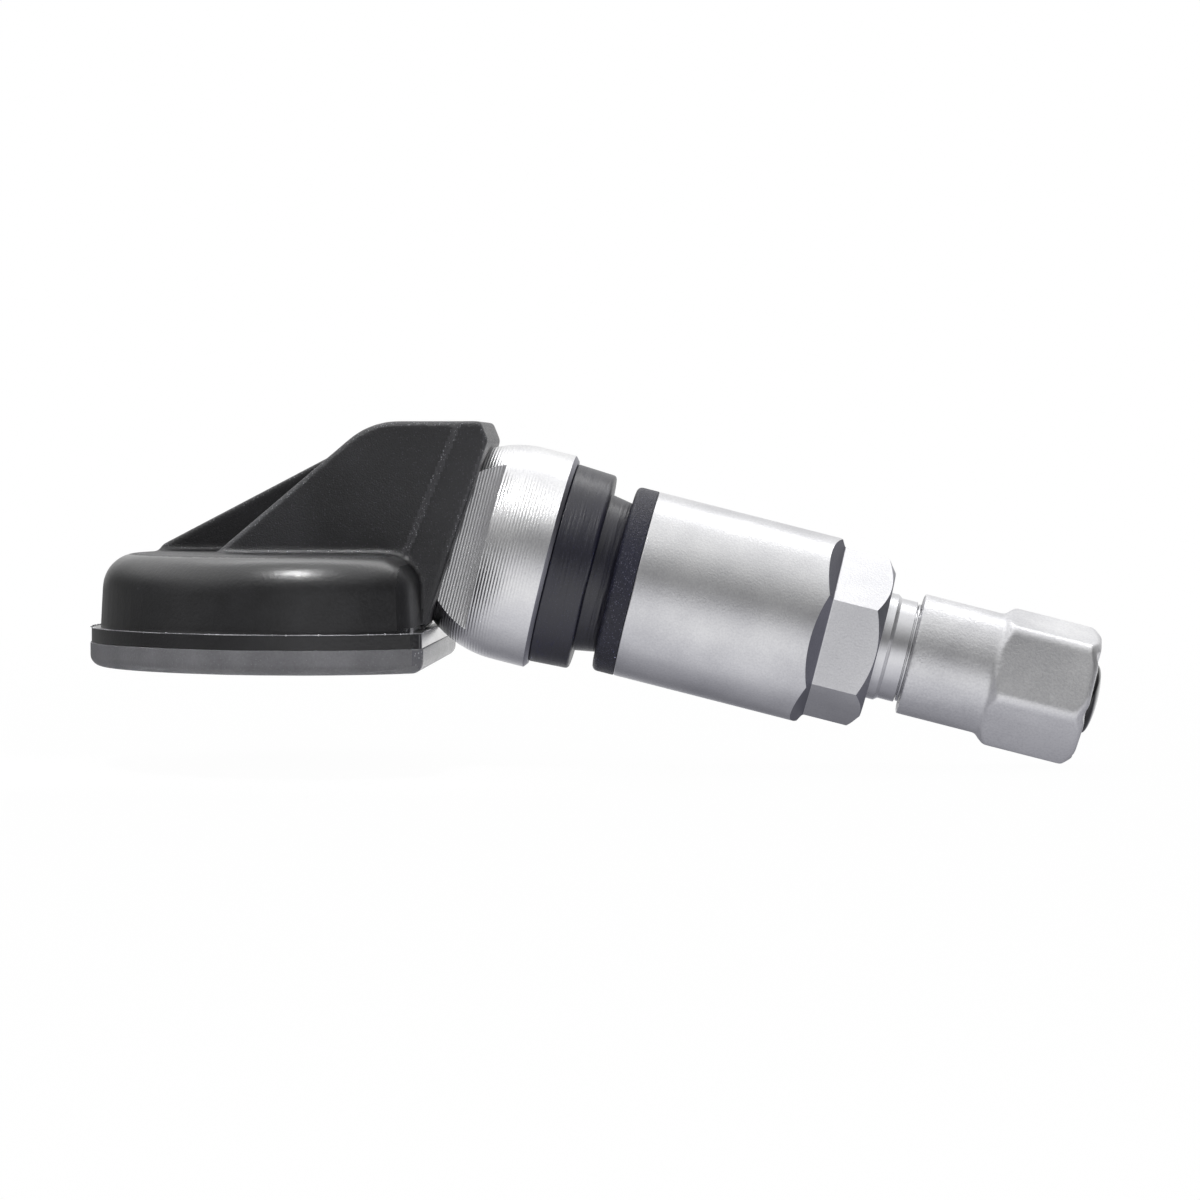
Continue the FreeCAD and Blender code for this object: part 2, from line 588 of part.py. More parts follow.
# Valve stem: ball head with two cheek flats, shank, neck and cap thread.
def make_stem():
    body = new_body("valve_stem", on_valve=True)
    sketch = sketch_on(body, "XZ_Plane")
    ball_x, ball_r = number("ball_x"), number("ball_r")
    ring = Part.Circle(Vector(ball_x, 0, 0), Vector(0, 0, 1), ball_r)
    sketch.addGeometry(Part.ArcOfCircle(ring, math.pi / 2, math.pi), False)
    corners = [
        ("head_face_x - head_edge", "ball_r"),
        ("head_face_x", "ball_r - head_edge"),
        ("head_face_x", "shank_r"),
        ("shank_end_x", "shank_r"),
        ("neck_x", "neck_r"),
        ("neck_end_x", "neck_r"),
        ("neck_end_x", "tip_r"),
        ("neck_end_x + lip_groove", "tip_r"),
        ("neck_end_x + lip_groove", "lip_r"),
        ("lip_end_x", "lip_r"),
        ("lip_end_x", "tip_r"),
        ("tip_end_x - tip_edge", "tip_r"),
        ("tip_end_x", "tip_r - tip_edge"),
        ("tip_end_x", "0"),
    ]
    points = [Vector(number(a), number(b), 0) for a, b in corners]
    start = Vector(ball_x, ball_r, 0)
    finish = Vector(ball_x - ball_r, 0, 0)
    chain = [start] + points + [finish]
    for first, second in zip(chain, chain[1:]):
        sketch.addGeometry(Part.LineSegment(first, second), False)
    last = len(chain) - 1
    sketch.addConstraint(Sketcher.Constraint("Coincident", 0, 1, 1, 1))
    sketch.addConstraint(Sketcher.Constraint("Coincident", 0, 2, last, 2))
    for index in range(1, last):
        sketch.addConstraint(Sketcher.Constraint("Coincident", index, 2, index + 1, 1))
    fix_point(sketch, 0, 3, "ball_x", "0")
    index = sketch.addConstraint(Sketcher.Constraint("Radius", 0, ball_r))
    bind(sketch, "Constraints[%d]" % index, "ball_r")
    sketch.addConstraint(Sketcher.Constraint("Vertical", 0, 3, 0, 1))
    sketch.addConstraint(Sketcher.Constraint("PointOnObject", 0, 2, -1))
    for index, (across, up) in enumerate(corners, start=2):
        fix_point(sketch, index, 1, across, up)
    spin(body, sketch)

    cheeks = sketch_on(body, "XY_Plane")
    polygon(cheeks, [
        ("ball_x - 2*ball_r", "flat_half"),
        ("flat_end_x", "flat_half"),
        ("flat_end_x", "2*ball_r"),
        ("ball_x - 2*ball_r", "2*ball_r"),
    ])
    near_cheek = pocket(body, cheeks, "4*ball_r", middle=True)
    ring_pattern(body, near_cheek, 2)

    bore = sketch_on(body, "XZ_Plane")
    polygon(bore, [
        ("ball_x - ball_r - 1", "0"),
        ("ball_x - ball_r - 1", "screw_bore_r"),
        ("screw_bore_end_x", "screw_bore_r"),
        ("screw_bore_end_x", "air_bore_r"),
        ("barrel_bore_end_x", "air_bore_r"),
        ("barrel_bore_end_x", "barrel_bore_r"),
        ("cone_end_x", "barrel_bore_r"),
        ("core_bore_end_x", "core_bore_r"),
        ("tip_end_x + 1", "core_bore_r"),
        ("tip_end_x + 1", "0"),
    ])
    spin(body, bore, cut=True)
    return body


def make_turned(name, corners, turn=0.0):
    """A simple turned piece on the valve's axis."""
    body = new_body(name, on_valve=True, turn=turn)
    sketch = sketch_on(body, "XZ_Plane")
    polygon(sketch, corners)
    spin(body, sketch)
    return body


# Rubber grommet: flange against the ball head, tapered neck through the rim.
def make_grommet():
    return make_turned("grommet", [
        ("head_face_x", "grommet_bore_r"),
        ("head_face_x", "grommet_r - 0.1"),
        ("head_face_x + 0.1", "grommet_r"),
        ("- 0.2", "grommet_seat_r"),
        ("0", "grommet_seat_r - 0.2"),
        ("0", "grommet_neck_r"),
        ("washer_x", "grommet_mid_r"),
        ("grommet_end_x", "grommet_tip_r"),
        ("grommet_end_x", "grommet_bore_r"),
    ])


# Plastic washer between the rim and the nut.
def make_washer():
    body = make_turned("rim_washer", [
        ("washer_x", "washer_bore_r"),
        ("washer_x", "washer_r"),
        ("nut_x", "washer_r"),
        ("nut_x", "washer_bore_r"),
    ])
    inner = number("washer_x")
    outside = number("washer_r")
    round_edges(body, "washer_round", lambda edge: across_x(edge, inner)
                and edge.BoundBox.ZMax > outside - 0.01)
    return body


# Sleeve nut: turned barrel, six milled flats with slanted run-outs, end chamfer.
def make_nut():
    body = make_turned("sleeve_nut", [
        ("nut_x", "nut_relief_r"),
        ("nut_x", "nut_r - nut_edge"),
        ("nut_x + nut_edge", "nut_r"),
        ("nut_chamfer_x", "nut_r"),
        ("nut_end_x", "nut_end_r"),
        ("nut_end_x", "nut_mouth_r"),
        ("nut_end_x - 0.4", "nut_bore_r"),
        ("nut_relief_x", "nut_bore_r"),
        ("nut_relief_x", "nut_relief_r"),
    ], turn=VALUES["nut_turn"])
    mill = sketch_on(body, "XZ_Plane")
    polygon(mill, [
        ("nut_flat_x", "nut_flat"),
        ("2*nut_runout_x - nut_flat_x", "2*nut_r - nut_flat"),
        ("nut_end_x + 1", "2*nut_r - nut_flat"),
        ("nut_end_x + 1", "nut_flat"),
    ])
    flat = pocket(body, mill, "2*nut_r", middle=True)
    ring_pattern(body, flat, 6)
    start = number("nut_flat_x")
    round_edges(body, "nut_runout_round",
                lambda edge: across_x(edge, start) and edge.Length > number("nut_flat"))
    return body


# Valve cap: rounded hexagon over a plain skirt, threaded inside, recess at the end.
def make_cap():
    body = new_body("valve_cap", on_valve=True, turn=VALUES["cap_turn"] + 30.0)
    hexagon = sketch_on(body, "YZ_Plane", "cap_hex_x")
    radius = number("cap_hex_corner")
    points = []
    for step in range(7):
        angle = math.radians(60 * step)
        points.append(Vector(radius * math.cos(angle), radius * math.sin(angle), 0))
    for first, second in zip(points, points[1:]):
        hexagon.addGeometry(Part.LineSegment(first, second), False)
    guide = hexagon.addGeometry(Part.Circle(Vector(0, 0, 0), Vector(0, 0, 1), radius), True)
    for index in range(6):
        after = (index + 1) % 6
        hexagon.addConstraint(Sketcher.Constraint("Coincident", index, 2, after, 1))
    hexagon.addConstraint(Sketcher.Constraint("Coincident", guide, 3, -1, 1))
    for index in range(6):
        hexagon.addConstraint(Sketcher.Constraint("PointOnObject", index, 1, guide))
    for index in range(1, 6):
        hexagon.addConstraint(Sketcher.Constraint("Equal", 0, index))
    hexagon.addConstraint(Sketcher.Constraint("PointOnObject", 0, 1, -1))
    index = hexagon.addConstraint(Sketcher.Constraint("Radius", guide, radius))
    bind(hexagon, "Constraints[%d]" % index, "cap_hex_corner")
    pad(body, hexagon, "disc_rim_x - cap_hex_x")
    round_edges(body, "cap_corner_round",
                lambda edge: edge.BoundBox.XMax - edge.BoundBox.XMin > 5.0)
    start = number("cap_hex_x")
    end = number("disc_rim_x")
    round_edges(body, "cap_end_round",
                lambda edge: across_x(edge, start) or across_x(edge, end))

    skirt = sketch_on(body, "XZ_Plane")
    polygon(skirt, [
        ("cap_x", "0"),
        ("cap_x", "cap_r - cap_edge"),
        ("cap_x + cap_edge", "cap_r"),
        ("cap_hex_x + 1", "cap_r"),
        ("cap_hex_x + 1", "0"),
    ])
    spin(body, skirt)
    bore = sketch_on(body, "XZ_Plane")
    polygon(bore, [
        ("cap_x - 1", "0"),
        ("cap_x - 1", "cap_mouth_r"),
        ("cap_mouth_end_x", "cap_mouth_r"),
        ("cap_mouth_end_x + 0.3", "cap_bore_r"),
        ("cap_bore_end_x", "cap_bore_r"),
        ("cap_bore_end_x", "0"),
    ])
    spin(body, bore, cut=True)
    recess = sketch_on(body, "XZ_Plane")
    polygon(recess, [
        ("disc_seat_x", "0"),
        ("disc_seat_x", "disc_r + disc_gap"),
        ("disc_rim_x + 1", "disc_r + disc_gap"),
        ("disc_rim_x + 1", "0"),
    ])
    spin(body, recess, cut=True)
    return body


# Domed dark disc set into the end of the cap.
def make_disc():
    body = new_body("cap_disc", on_valve=True)
    sketch = sketch_on(body, "XZ_Plane")
    tip, edge_r = number("disc_tip_x"), number("disc_r")
    height = tip - number("disc_rim_x")
    crown_r = (edge_r ** 2 + height ** 2) / (2 * height)
    centre = Vector(tip - crown_r, 0, 0)
    ring = Part.Circle(centre, Vector(0, 0, 1), crown_r)
    sketch.addGeometry(Part.ArcOfCircle(ring, 0.0, math.asin(edge_r / crown_r)), False)
    corners = [
        ("disc_rim_x", "disc_r"),
        ("disc_seat_x", "disc_r"),
        ("disc_seat_x", "0"),
        ("disc_tip_x", "0"),
    ]
    points = [Vector(number(a), number(b), 0) for a, b in corners]
    for first, second in zip(points, points[1:]):
        sketch.addGeometry(Part.LineSegment(first, second), False)
    for index in range(4):
        after = (index + 1) % 4
        sketch.addConstraint(Sketcher.Constraint("Coincident", index, 2, after, 1))
    sketch.addConstraint(Sketcher.Constraint("PointOnObject", 0, 3, -1))
    for index in range(1, 4):
        fix_point(sketch, index, 1, *corners[index - 1])
    fix_point(sketch, 0, 1, *corners[3])
    spin(body, sketch)
    return body


# Rubber ring inside the cap that closes on the stem's open end.
def make_cap_seal():
    return make_turned("cap_seal", [
        ("seal_x", "seal_bore_r"),
        ("seal_x", "seal_r"),
        ("seal_end_x", "seal_r"),
        ("seal_end_x", "seal_bore_r"),
    ])


# Valve core: threaded body, conical seal, spring and pin with its cup.
def make_core_body():
    body = make_turned("core_body", [
        ("core_end_x", "pin_bore_r"),
        ("core_end_x", "core_barrel_r"),
        ("core_thread_end_x - core_taper", "core_barrel_r"),
        ("core_thread_end_x", "core_thread_r"),
        ("core_top_x - 0.3", "core_thread_r"),
        ("core_top_x", "core_thread_r - 0.3"),
        ("core_top_x", "chamber_r"),
        ("chamber_end_x", "chamber_r"),
        ("chamber_end_x", "pin_bore_r"),
    ])
    key = sketch_on(body, "XY_Plane")
    polygon(key, [
        ("core_flat_x", "core_flat"),
        ("core_flat_x", "2*core_thread_r"),
        ("core_top_x + 1", "2*core_thread_r"),
        ("core_top_x + 1", "core_flat"),
    ])
    flat = pocket(body, key, "4*core_thread_r", middle=True)
    ring_pattern(body, flat, 2)
    return body


def make_core_seal():
    return make_turned("core_seal", [
        ("core_seal_x", "core_barrel_r + core_seal_gap"),
        ("core_seal_x", "core_seal_r"),
        ("core_bore_end_x", "core_seal_r"),
        ("core_seal_end_x", "core_seal_r - 0.5"),
        ("core_seal_end_x", "core_barrel_r + core_seal_gap"),
    ])


def make_core_pin():
    return make_turned("core_pin", [
        ("cup_x", "0"),
        ("cup_x", "pin_r"),
        ("collar_x", "pin_r"),
        ("collar_x", "collar_r"),
        ("collar_end_x", "collar_r"),
        ("collar_end_x", "pin_r"),
        ("pin_tip_x - 0.15", "pin_r"),
        ("pin_tip_x", "pin_r - 0.15"),
        ("pin_tip_x", "0"),
    ])


def make_core_cup():
    return make_turned("core_cup", [
        ("cup_x", "pin_r"),
        ("cup_x", "cup_r - 0.25"),
        ("cup_x + 0.25", "cup_r"),
        ("cup_end_x", "cup_r"),
        ("cup_end_x", "pin_r"),
    ])


def make_core_spring():
    """Compression spring of square wire between the ledge and the pin's collar."""
    wire, mean = number("spring_wire"), number("spring_r")
    start = number("chamber_end_x + spring_wire + spring_end_gap")
    height = number("collar_x - spring_wire - spring_end_gap") - start
    path = Part.makeHelix(height / number("spring_turns"), height, mean)
    corners = [(-wire, -wire), (wire, -wire), (wire, wire), (-wire, wire), (-wire, -wire)]
    section = Part.makePolygon([Vector(mean + across, 0, up) for across, up in corners])
    coil = Part.Wire(path.Edges).makePipeShell([section], True, True)
    turn = FreeCAD.Placement(Vector(start, 0, 0), FreeCAD.Rotation(Vector(0, 1, 0), 90))
    feature = doc.addObject("Part::Feature", "core_spring")
    feature.Label = "core_spring"
    feature.Shape = coil
    feature.Placement = tilted().multiply(turn)
    return feature


# Fixing screw: hollow, with a six-lobe socket, from behind into the ball head.
def make_screw():
    body = make_turned("fixing_screw", [
        ("screw_head_x", "screw_air_r"),
        ("screw_head_x", "screw_head_r - screw_edge"),
        ("screw_head_x + screw_edge", "screw_head_r"),
        ("saddle_x", "screw_head_r"),
        ("saddle_x", "screw_r"),
        ("screw_end_x - 0.3", "screw_r"),
        ("screw_end_x", "screw_r - 0.3"),
        ("screw_end_x", "screw_air_r"),
    ])
    recess = sketch_on(body, "YZ_Plane", "screw_head_x")
    big, small = number("socket_big_r"), number("socket_small_r")
    points = []
    for step in range(12):
        angle = math.radians(30 * step)
        radius = big if step % 2 == 0 else small
        points.append(Vector(radius * math.cos(angle), radius * math.sin(angle), 0))
    for first, second in zip(points, points[1:] + points[:1]):
        recess.addGeometry(Part.LineSegment(first, second), False)
    outer = recess.addGeometry(Part.Circle(Vector(0, 0, 0), Vector(0, 0, 1), big), True)
    inner = recess.addGeometry(Part.Circle(Vector(0, 0, 0), Vector(0, 0, 1), small), True)
    for index in range(12):
        after = (index + 1) % 12
        guide = outer if index % 2 == 0 else inner
        recess.addConstraint(Sketcher.Constraint("Coincident", index, 2, after, 1))
        recess.addConstraint(Sketcher.Constraint("PointOnObject", index, 1, guide))
    for index in range(1, 12):
        recess.addConstraint(Sketcher.Constraint("Equal", 0, index))
    for guide, text in ((outer, "socket_big_r"), (inner, "socket_small_r")):
        recess.addConstraint(Sketcher.Constraint("Coincident", guide, 3, -1, 1))
        index = recess.addConstraint(Sketcher.Constraint("Radius", guide, number(text)))
        bind(recess, "Constraints[%d]" % index, text)
    recess.addConstraint(Sketcher.Constraint("PointOnObject", 0, 1, -1))
    pocket(body, recess, "socket_depth", reverse=True)
    return body


# Saddle washer: flat under the screw head, hollow over the cradle.
def make_saddle():
    body = new_body("saddle_washer", on_valve=True)
    block = sketch_on(body, "XZ_Plane")
    polygon(block, [
        ("saddle_x", "- saddle_half_z"),
        ("saddle_inner_x", "- saddle_half_z"),
        ("saddle_inner_x", "saddle_half_z"),
        ("saddle_x", "saddle_half_z"),
    ])
    pad(body, block, "2*saddle_half_y", middle=True)
    hollow = sketch_on(body, "XZ_Plane")
    circle(hollow, "ball_x", "0", "saddle_r")
    pocket(body, hollow, "4*saddle_half_y", middle=True)
    hole = sketch_on(body, "YZ_Plane", "saddle_x - 1")
    circle(hole, "0", "0", "screw_r + saddle_bore_gap")
    pocket(body, hole, "saddle_thick + saddle_depth + 1", reverse=True)
    return body


# Base cover: grey tray that closes the housing from below.
def make_cover():
    body = new_body("base_cover")
    foot = sketch_on(body, "XY_Plane", "base_z")
    plan(foot, "0", "plan_front_x", "plan_corner_r")
    pad(body, foot, "joint_z - base_z")
    bottom = number("base_z")
    round_edges(body, "base_round", lambda edge: level(edge, bottom))
    lip = sketch_on(body, "XY_Plane", "joint_z")
    plan(lip, "lip_inset", "lip_front_x", "cavity_corner_r")
    pad(body, lip, "lip_z - joint_z")
    tray = sketch_on(body, "XY_Plane", "lip_z")
    plan(tray, "tray_inset", "tray_front_x", "cavity_corner_r")
    pocket(body, tray, "lip_z - floor_z")
    return body


def make_wing(name, corners, start):
    """One gusset wing, drawn from the side and padded towards -Y."""
    body = new_body(name)
    side = sketch_on(body, "XZ_Plane", start)
    polygon(side, corners)
    pad(body, side, "wing_thick")
    crest, limit = number("top_z"), number("wall_back_x - wall_bevel")

    def crest_corner(edge):
        box = edge.BoundBox
        along_y = box.YMax - box.YMin > 2.0 and box.XMax - box.XMin < 1e-3
        return along_y and abs(box.ZMax - crest) < 1e-3 and box.XMax < limit

    round_edges(body, "wing_round", crest_corner)
    half, deck = number("wing_half_y"), number("dome_z")

    def outer_outline(edge):
        box = edge.BoundBox
        outside = at_y(edge, half) or at_y(edge, -half)
        hidden = box.XMin > limit or box.ZMax < deck + 0.1
        return outside and not hidden and box.XMax > number("far_foot_x") + 1.0

    round_edges(body, "edge_round", outer_outline)
    return body


def make_hull():
    """Dome with its screw channel."""
    dome = new_body("dome")
    outline = sketch_on(dome, "XY_Plane", "rim_z - 0.5")
    plan(outline, "dome_inset", "dome_front_x", "dome_corner_r")
    wall = pad(dome, outline, "dome_z - rim_z + 0.5")
    wall.TaperAngle = -number("dome_draft")
    doc.recompute()
    crest = number("dome_z")
    round_edges(dome, "dome_round", lambda edge: level(edge, crest))

    channel = new_body("channel")
    cut = sketch_on(channel, "XZ_Plane")
    polygon(cut, [
        ("channel_end_x - channel_slope", "dome_z + 0.5"),
        ("channel_end_x", "channel_floor_z"),
        ("wall_heel_x + 3", "channel_floor_z"),
        ("wall_heel_x + 3", "dome_z + 0.5"),
    ])
    pad(channel, cut, "2*wing_inner_y", middle=True)

    hull = doc.addObject("Part::Cut", "dome_with_channel")
    hull.Base = dome
    hull.Tool = channel
    doc.recompute()
    return hull


def make_head_wall():
    """Leaning front wall with a bevel along its top, proud of the wings."""
    body = new_body("head_wall")
    lean = sketch_on(body, "XZ_Plane")
    polygon(lean, [
        ("wall_foot_x", "wall_foot_z"),
        ("wall_brow_x", "wall_brow_z"),
        ("wall_top_x", "top_z"),
        ("wall_back_x", "top_z"),
        ("wall_heel_x", "wall_foot_z"),
    ])
    pad(body, lean, "2*wall_half_y", middle=True)
    half, deck = number("wall_half_y"), number("dome_z")

    def side_outline(edge):
        above = edge.BoundBox.ZMax > deck + 0.1
        return above and (at_y(edge, half) or at_y(edge, -half))

    round_edges(body, "edge_round", side_outline)
    return body


BALL_X = "sizes.ball_x * cos(sizes.stem_tilt * 1 deg)"
BALL_Z = "-sizes.ball_x * sin(sizes.stem_tilt * 1 deg)"


def tie_point(sketch, item, end, across, up):
    """Tie one point of a sketch, where it stands, to a pair of expressions."""
    place = sketch.getPoint(item, end)
    for kind, value, text in (("DistanceX", place.x, across), ("DistanceY", place.y, up)):
        rule = Sketcher.Constraint(kind, -1, 1, item, end, value)
        index = sketch.addConstraint(rule)
        sketch.setExpression("Constraints[%d]" % index, text)


def make_cradle(centre_x, centre_z):
    """Round back of the ball socket, kept behind the leaning front face."""
    cradle = new_body("cradle")
    bowl = sketch_on(cradle, "XZ_Plane")
    ring = Part.Circle(Vector(centre_x, centre_z, 0), Vector(0, 0, 1), number("cradle_r"))
    bowl.addGeometry(ring, False)
    tie_point(bowl, 0, 3, BALL_X, BALL_Z)
    index = bowl.addConstraint(Sketcher.Constraint("Radius", 0, number("cradle_r")))
    bind(bowl, "Constraints[%d]" % index, "cradle_r")
    pad(cradle, bowl, "2*wing_inner_y + 0.2", middle=True)

    keep = new_body("cradle_limit")
    frame = sketch_on(keep, "XZ_Plane")
    polygon(frame, [
        ("wall_foot_x", "wall_foot_z"),
        ("wall_brow_x", "wall_brow_z"),
        ("wall_top_x", "top_z"),
        ("ball_x - 2*cradle_r", "top_z"),
        ("ball_x - 2*cradle_r", "wall_foot_z"),
    ])
    pad(keep, frame, "4*wing_inner_y", middle=True)
    bowl_part = doc.addObject("Part::Common", "cradle_bowl")
    bowl_part.Base = cradle
    bowl_part.Tool = keep
    doc.recompute()
    return bowl_part


def make_socket(centre_x, centre_z):
    """Room for the ball head: a sphere between the ears' cheeks."""
    ball = doc.addObject("Part::Sphere", "socket_ball")
    ball.Radius = number("socket_r")
    bind(ball, "Radius", "socket_r")
    ball.Placement.Base = Vector(centre_x, 0, centre_z)
    cheeks = doc.addObject("Part::Box", "socket_width")
    side = 4 * number("socket_r")
    cheeks.Length = side
    bind(cheeks, "Length", "4*socket_r")
    cheeks.Width = 2 * number("cheek_half")
    bind(cheeks, "Width", "2*cheek_half")
    cheeks.Height = side
    bind(cheeks, "Height", "4*socket_r")
    corner = Vector(centre_x - side / 2, -number("cheek_half"), centre_z - side / 2)
    cheeks.Placement.Base = corner
    socket = doc.addObject("Part::Common", "socket")
    socket.Base = ball
    socket.Tool = cheeks
    return socket


def make_slot(centre_x, centre_z):
    """Screw slot from the smallest to the largest slope of the valve."""
    reach = 2 * number("cradle_r") - number("ball_r")
    centre = Vector(centre_x, centre_z, 0)
    slot_parts = []
    ends = []
    for name in ("slope_low", "slope_high"):
        slope = number(name)
        rod = doc.addObject("Part::Cylinder", "slot_at_" + name)
        rod.Radius = number("slot_half")
        bind(rod, "Radius", "slot_half")
        rod.Height = reach
        bind(rod, "Height", "2*cradle_r - ball_r")
        spin_y = FreeCAD.Rotation(Vector(0, 1, 0), slope - 90.0)
        rod.Placement = FreeCAD.Placement(Vector(centre_x, 0, centre_z), spin_y)
        slot_parts.append(rod)
        angle = math.radians(slope)
        ends.append(centre + Vector(-reach * math.cos(angle), reach * math.sin(angle), 0))
    middle = new_body("slot_middle")
    fan = sketch_on(middle, "XZ_Plane")
    points = [centre] + ends
    for first, second in zip(points, points[1:] + points[:1]):
        fan.addGeometry(Part.LineSegment(first, second), False)
    for index in range(3):
        after = (index + 1) % 3
        fan.addConstraint(Sketcher.Constraint("Coincident", index, 2, after, 1))
    tie_point(fan, 0, 1, BALL_X, BALL_Z)
    for corner, name in ((1, "slope_low"), (2, "slope_high")):
        along = "(%s)" % bound("2*cradle_r - ball_r")
        turn = "sizes.%s * 1 deg" % name
        tie_point(fan, corner, 1, "%s - %s * cos(%s)" % (BALL_X, along, turn),
                  "%s + %s * sin(%s)" % (BALL_Z, along, turn))
    pad(middle, fan, "2*slot_half", middle=True)
    slot_parts.append(middle)
    slot = doc.addObject("Part::MultiFuse", "screw_slot")
    slot.Shapes = slot_parts
    return slot


def make_inner_space():
    """Room for the electronics, with a lower ceiling under the screw channel."""
    space = new_body("inner_space")
    room = sketch_on(space, "XY_Plane", "joint_z")
    plan(room, "cavity_inset", "cavity_front_x", "cavity_corner_r")
    pad(space, room, "ceiling_z - joint_z")
    under = sketch_on(space, "XZ_Plane")
    polygon(under, [
        ("channel_end_x - channel_slope - channel_wall", "ceiling_z + 1"),
        ("channel_end_x - channel_wall", "channel_floor_z - channel_wall"),
        ("plan_front_x", "channel_floor_z - channel_wall"),
        ("plan_front_x", "ceiling_z + 1"),
    ])
    pocket(space, under, "2*wing_inner_y + 2*channel_wall", middle=True)
    return space


# Housing: dome, rim, head wall, wings and slotted cradle, moulded in one.
def make_housing():
    centre_x, centre_z = ball_centre()
    hull = make_hull()

    rim = new_body("rim")
    edge_line = sketch_on(rim, "XY_Plane", "joint_z")
    plan(edge_line, "rim_inset", "plan_front_x - rim_inset", "plan_corner_r")
    pad(rim, edge_line, "rim_z - joint_z")

    near_wing = make_wing("near_wing", [
        ("near_foot_x", "dome_z"),
        ("near_foot_x", "dome_z - 1"),
        ("wall_back_x - 1.75", "dome_z - 1"),
        ("wall_back_x + 0.65", "top_z"),
        ("near_top_x", "top_z"),
    ], "wing_inner_y")
    far_wing = make_wing("far_wing", [
        ("far_foot_x + far_nose", "far_nose_z"),
        ("far_foot_x", "dome_z - 0.6"),
        ("wall_back_x - 1.75", "dome_z - 1"),
        ("wall_back_x + 0.65", "top_z"),
        ("far_top_x", "top_z"),
    ], "- wing_half_y")

    outside = doc.addObject("Part::MultiFuse", "housing_outside")
    outside.Shapes = [hull, rim, near_wing, far_wing, make_head_wall(),
                      make_cradle(centre_x, centre_z)]
    outside.Refine = True
    doc.recompute()

    port = doc.addObject("Part::Cylinder", "air_port")
    port.Radius = number("port_r")
    bind(port, "Radius", "port_r")
    port.Height = number("roof + 1")
    bind(port, "Height", "roof + 1")
    port.Placement.Base = Vector(number("port_x"), number("port_y"), number("ceiling_z - 0.5"))
    bind(port, "Placement.Base.x", "port_x")
    bind(port, "Placement.Base.y", "port_y")
    bind(port, "Placement.Base.z", "ceiling_z - 0.5")

    tools = doc.addObject("Part::MultiFuse", "housing_cuts")
    tools.Shapes = [make_socket(centre_x, centre_z), make_slot(centre_x, centre_z),
                    make_inner_space(), port]
    doc.recompute()
    housing = doc.addObject("Part::Cut", "housing")
    housing.Label = "housing"
    housing.Base = outside
    housing.Tool = tools
    housing.Refine = True
    doc.recompute()
    return housing


def ball_centre():
    """World X and Z of the ball head's centre."""
    angle = math.radians(VALUES["stem_tilt"])
    return VALUES["ball_x"] * math.cos(angle), -VALUES["ball_x"] * math.sin(angle)


# Circuit board with the parts that stand on it.
def make_board():
    body = new_body("circuit_board")
    outline = sketch_on(body, "XY_Plane", "floor_z")
    plan(outline, "board_inset", "board_front_x", "cavity_corner_r")
    pad(body, outline, "board_z - floor_z")
    return body


def make_cell():
    body = new_body("battery")
    disc = sketch_on(body, "XY_Plane", "cell_z")
    circle(disc, "cell_x", "cell_y", "cell_r")
    pad(body, disc, "cell_height")
    can = body.Tip
    rims = ["Edge%d" % index for index, edge in enumerate(can.Shape.Edges, start=1)
            if level(edge, number("cell_z")) or level(edge, number("cell_top_z"))]
    bevel = body.newObject("PartDesign::Chamfer", "battery_edge")
    bevel.Base = (can, rims)
    bevel.Size = number("cell_edge")
    bind(bevel, "Size", "cell_edge")
    body.Tip = bevel
    doc.recompute()
    return body


def make_tabs():
    lower = new_body("cell_tab_lower")
    strip = sketch_on(lower, "XY_Plane", "board_z")
    polygon(strip, [
        ("cell_x - 0.5*tab_width", "cell_y - cell_r"),
        ("cell_x + 0.5*tab_width", "cell_y - cell_r"),
        ("cell_x + 0.5*tab_width", "cell_y + tab_reach"),
        ("cell_x - 0.5*tab_width", "cell_y + tab_reach"),
    ])
    pad(lower, strip, "tab_thick")

    upper = new_body("cell_tab_upper")
    bend = sketch_on(upper, "YZ_Plane", "cell_x - 0.5*tab_width")
    polygon(bend, [
        ("cell_y - tab_reach", "cell_top_z"),
        ("cell_y + cell_r + tab_gap", "cell_top_z"),
        ("cell_y + cell_r + tab_gap", "board_z"),
        ("cell_y + cell_r + tab_gap + tab_thick", "board_z"),
        ("cell_y + cell_r + tab_gap + tab_thick", "cell_top_z + tab_thick"),
        ("cell_y - tab_reach", "cell_top_z + tab_thick"),
    ])
    pad(upper, bend, "tab_width")
    return [lower, upper]


def make_block(name, x, y, length, width, height):
    """A plain component standing on the board: its centre and three sizes."""
    body = new_body(name)
    foot = sketch_on(body, "XY_Plane", "board_z")
    polygon(foot, [
        ("%s - 0.5*%s" % (x, length), "%s - 0.5*%s" % (y, width)),
        ("%s + 0.5*%s" % (x, length), "%s - 0.5*%s" % (y, width)),
        ("%s + 0.5*%s" % (x, length), "%s + 0.5*%s" % (y, width)),
        ("%s - 0.5*%s" % (x, length), "%s + 0.5*%s" % (y, width)),
    ])
    pad(body, foot, height)
    return body


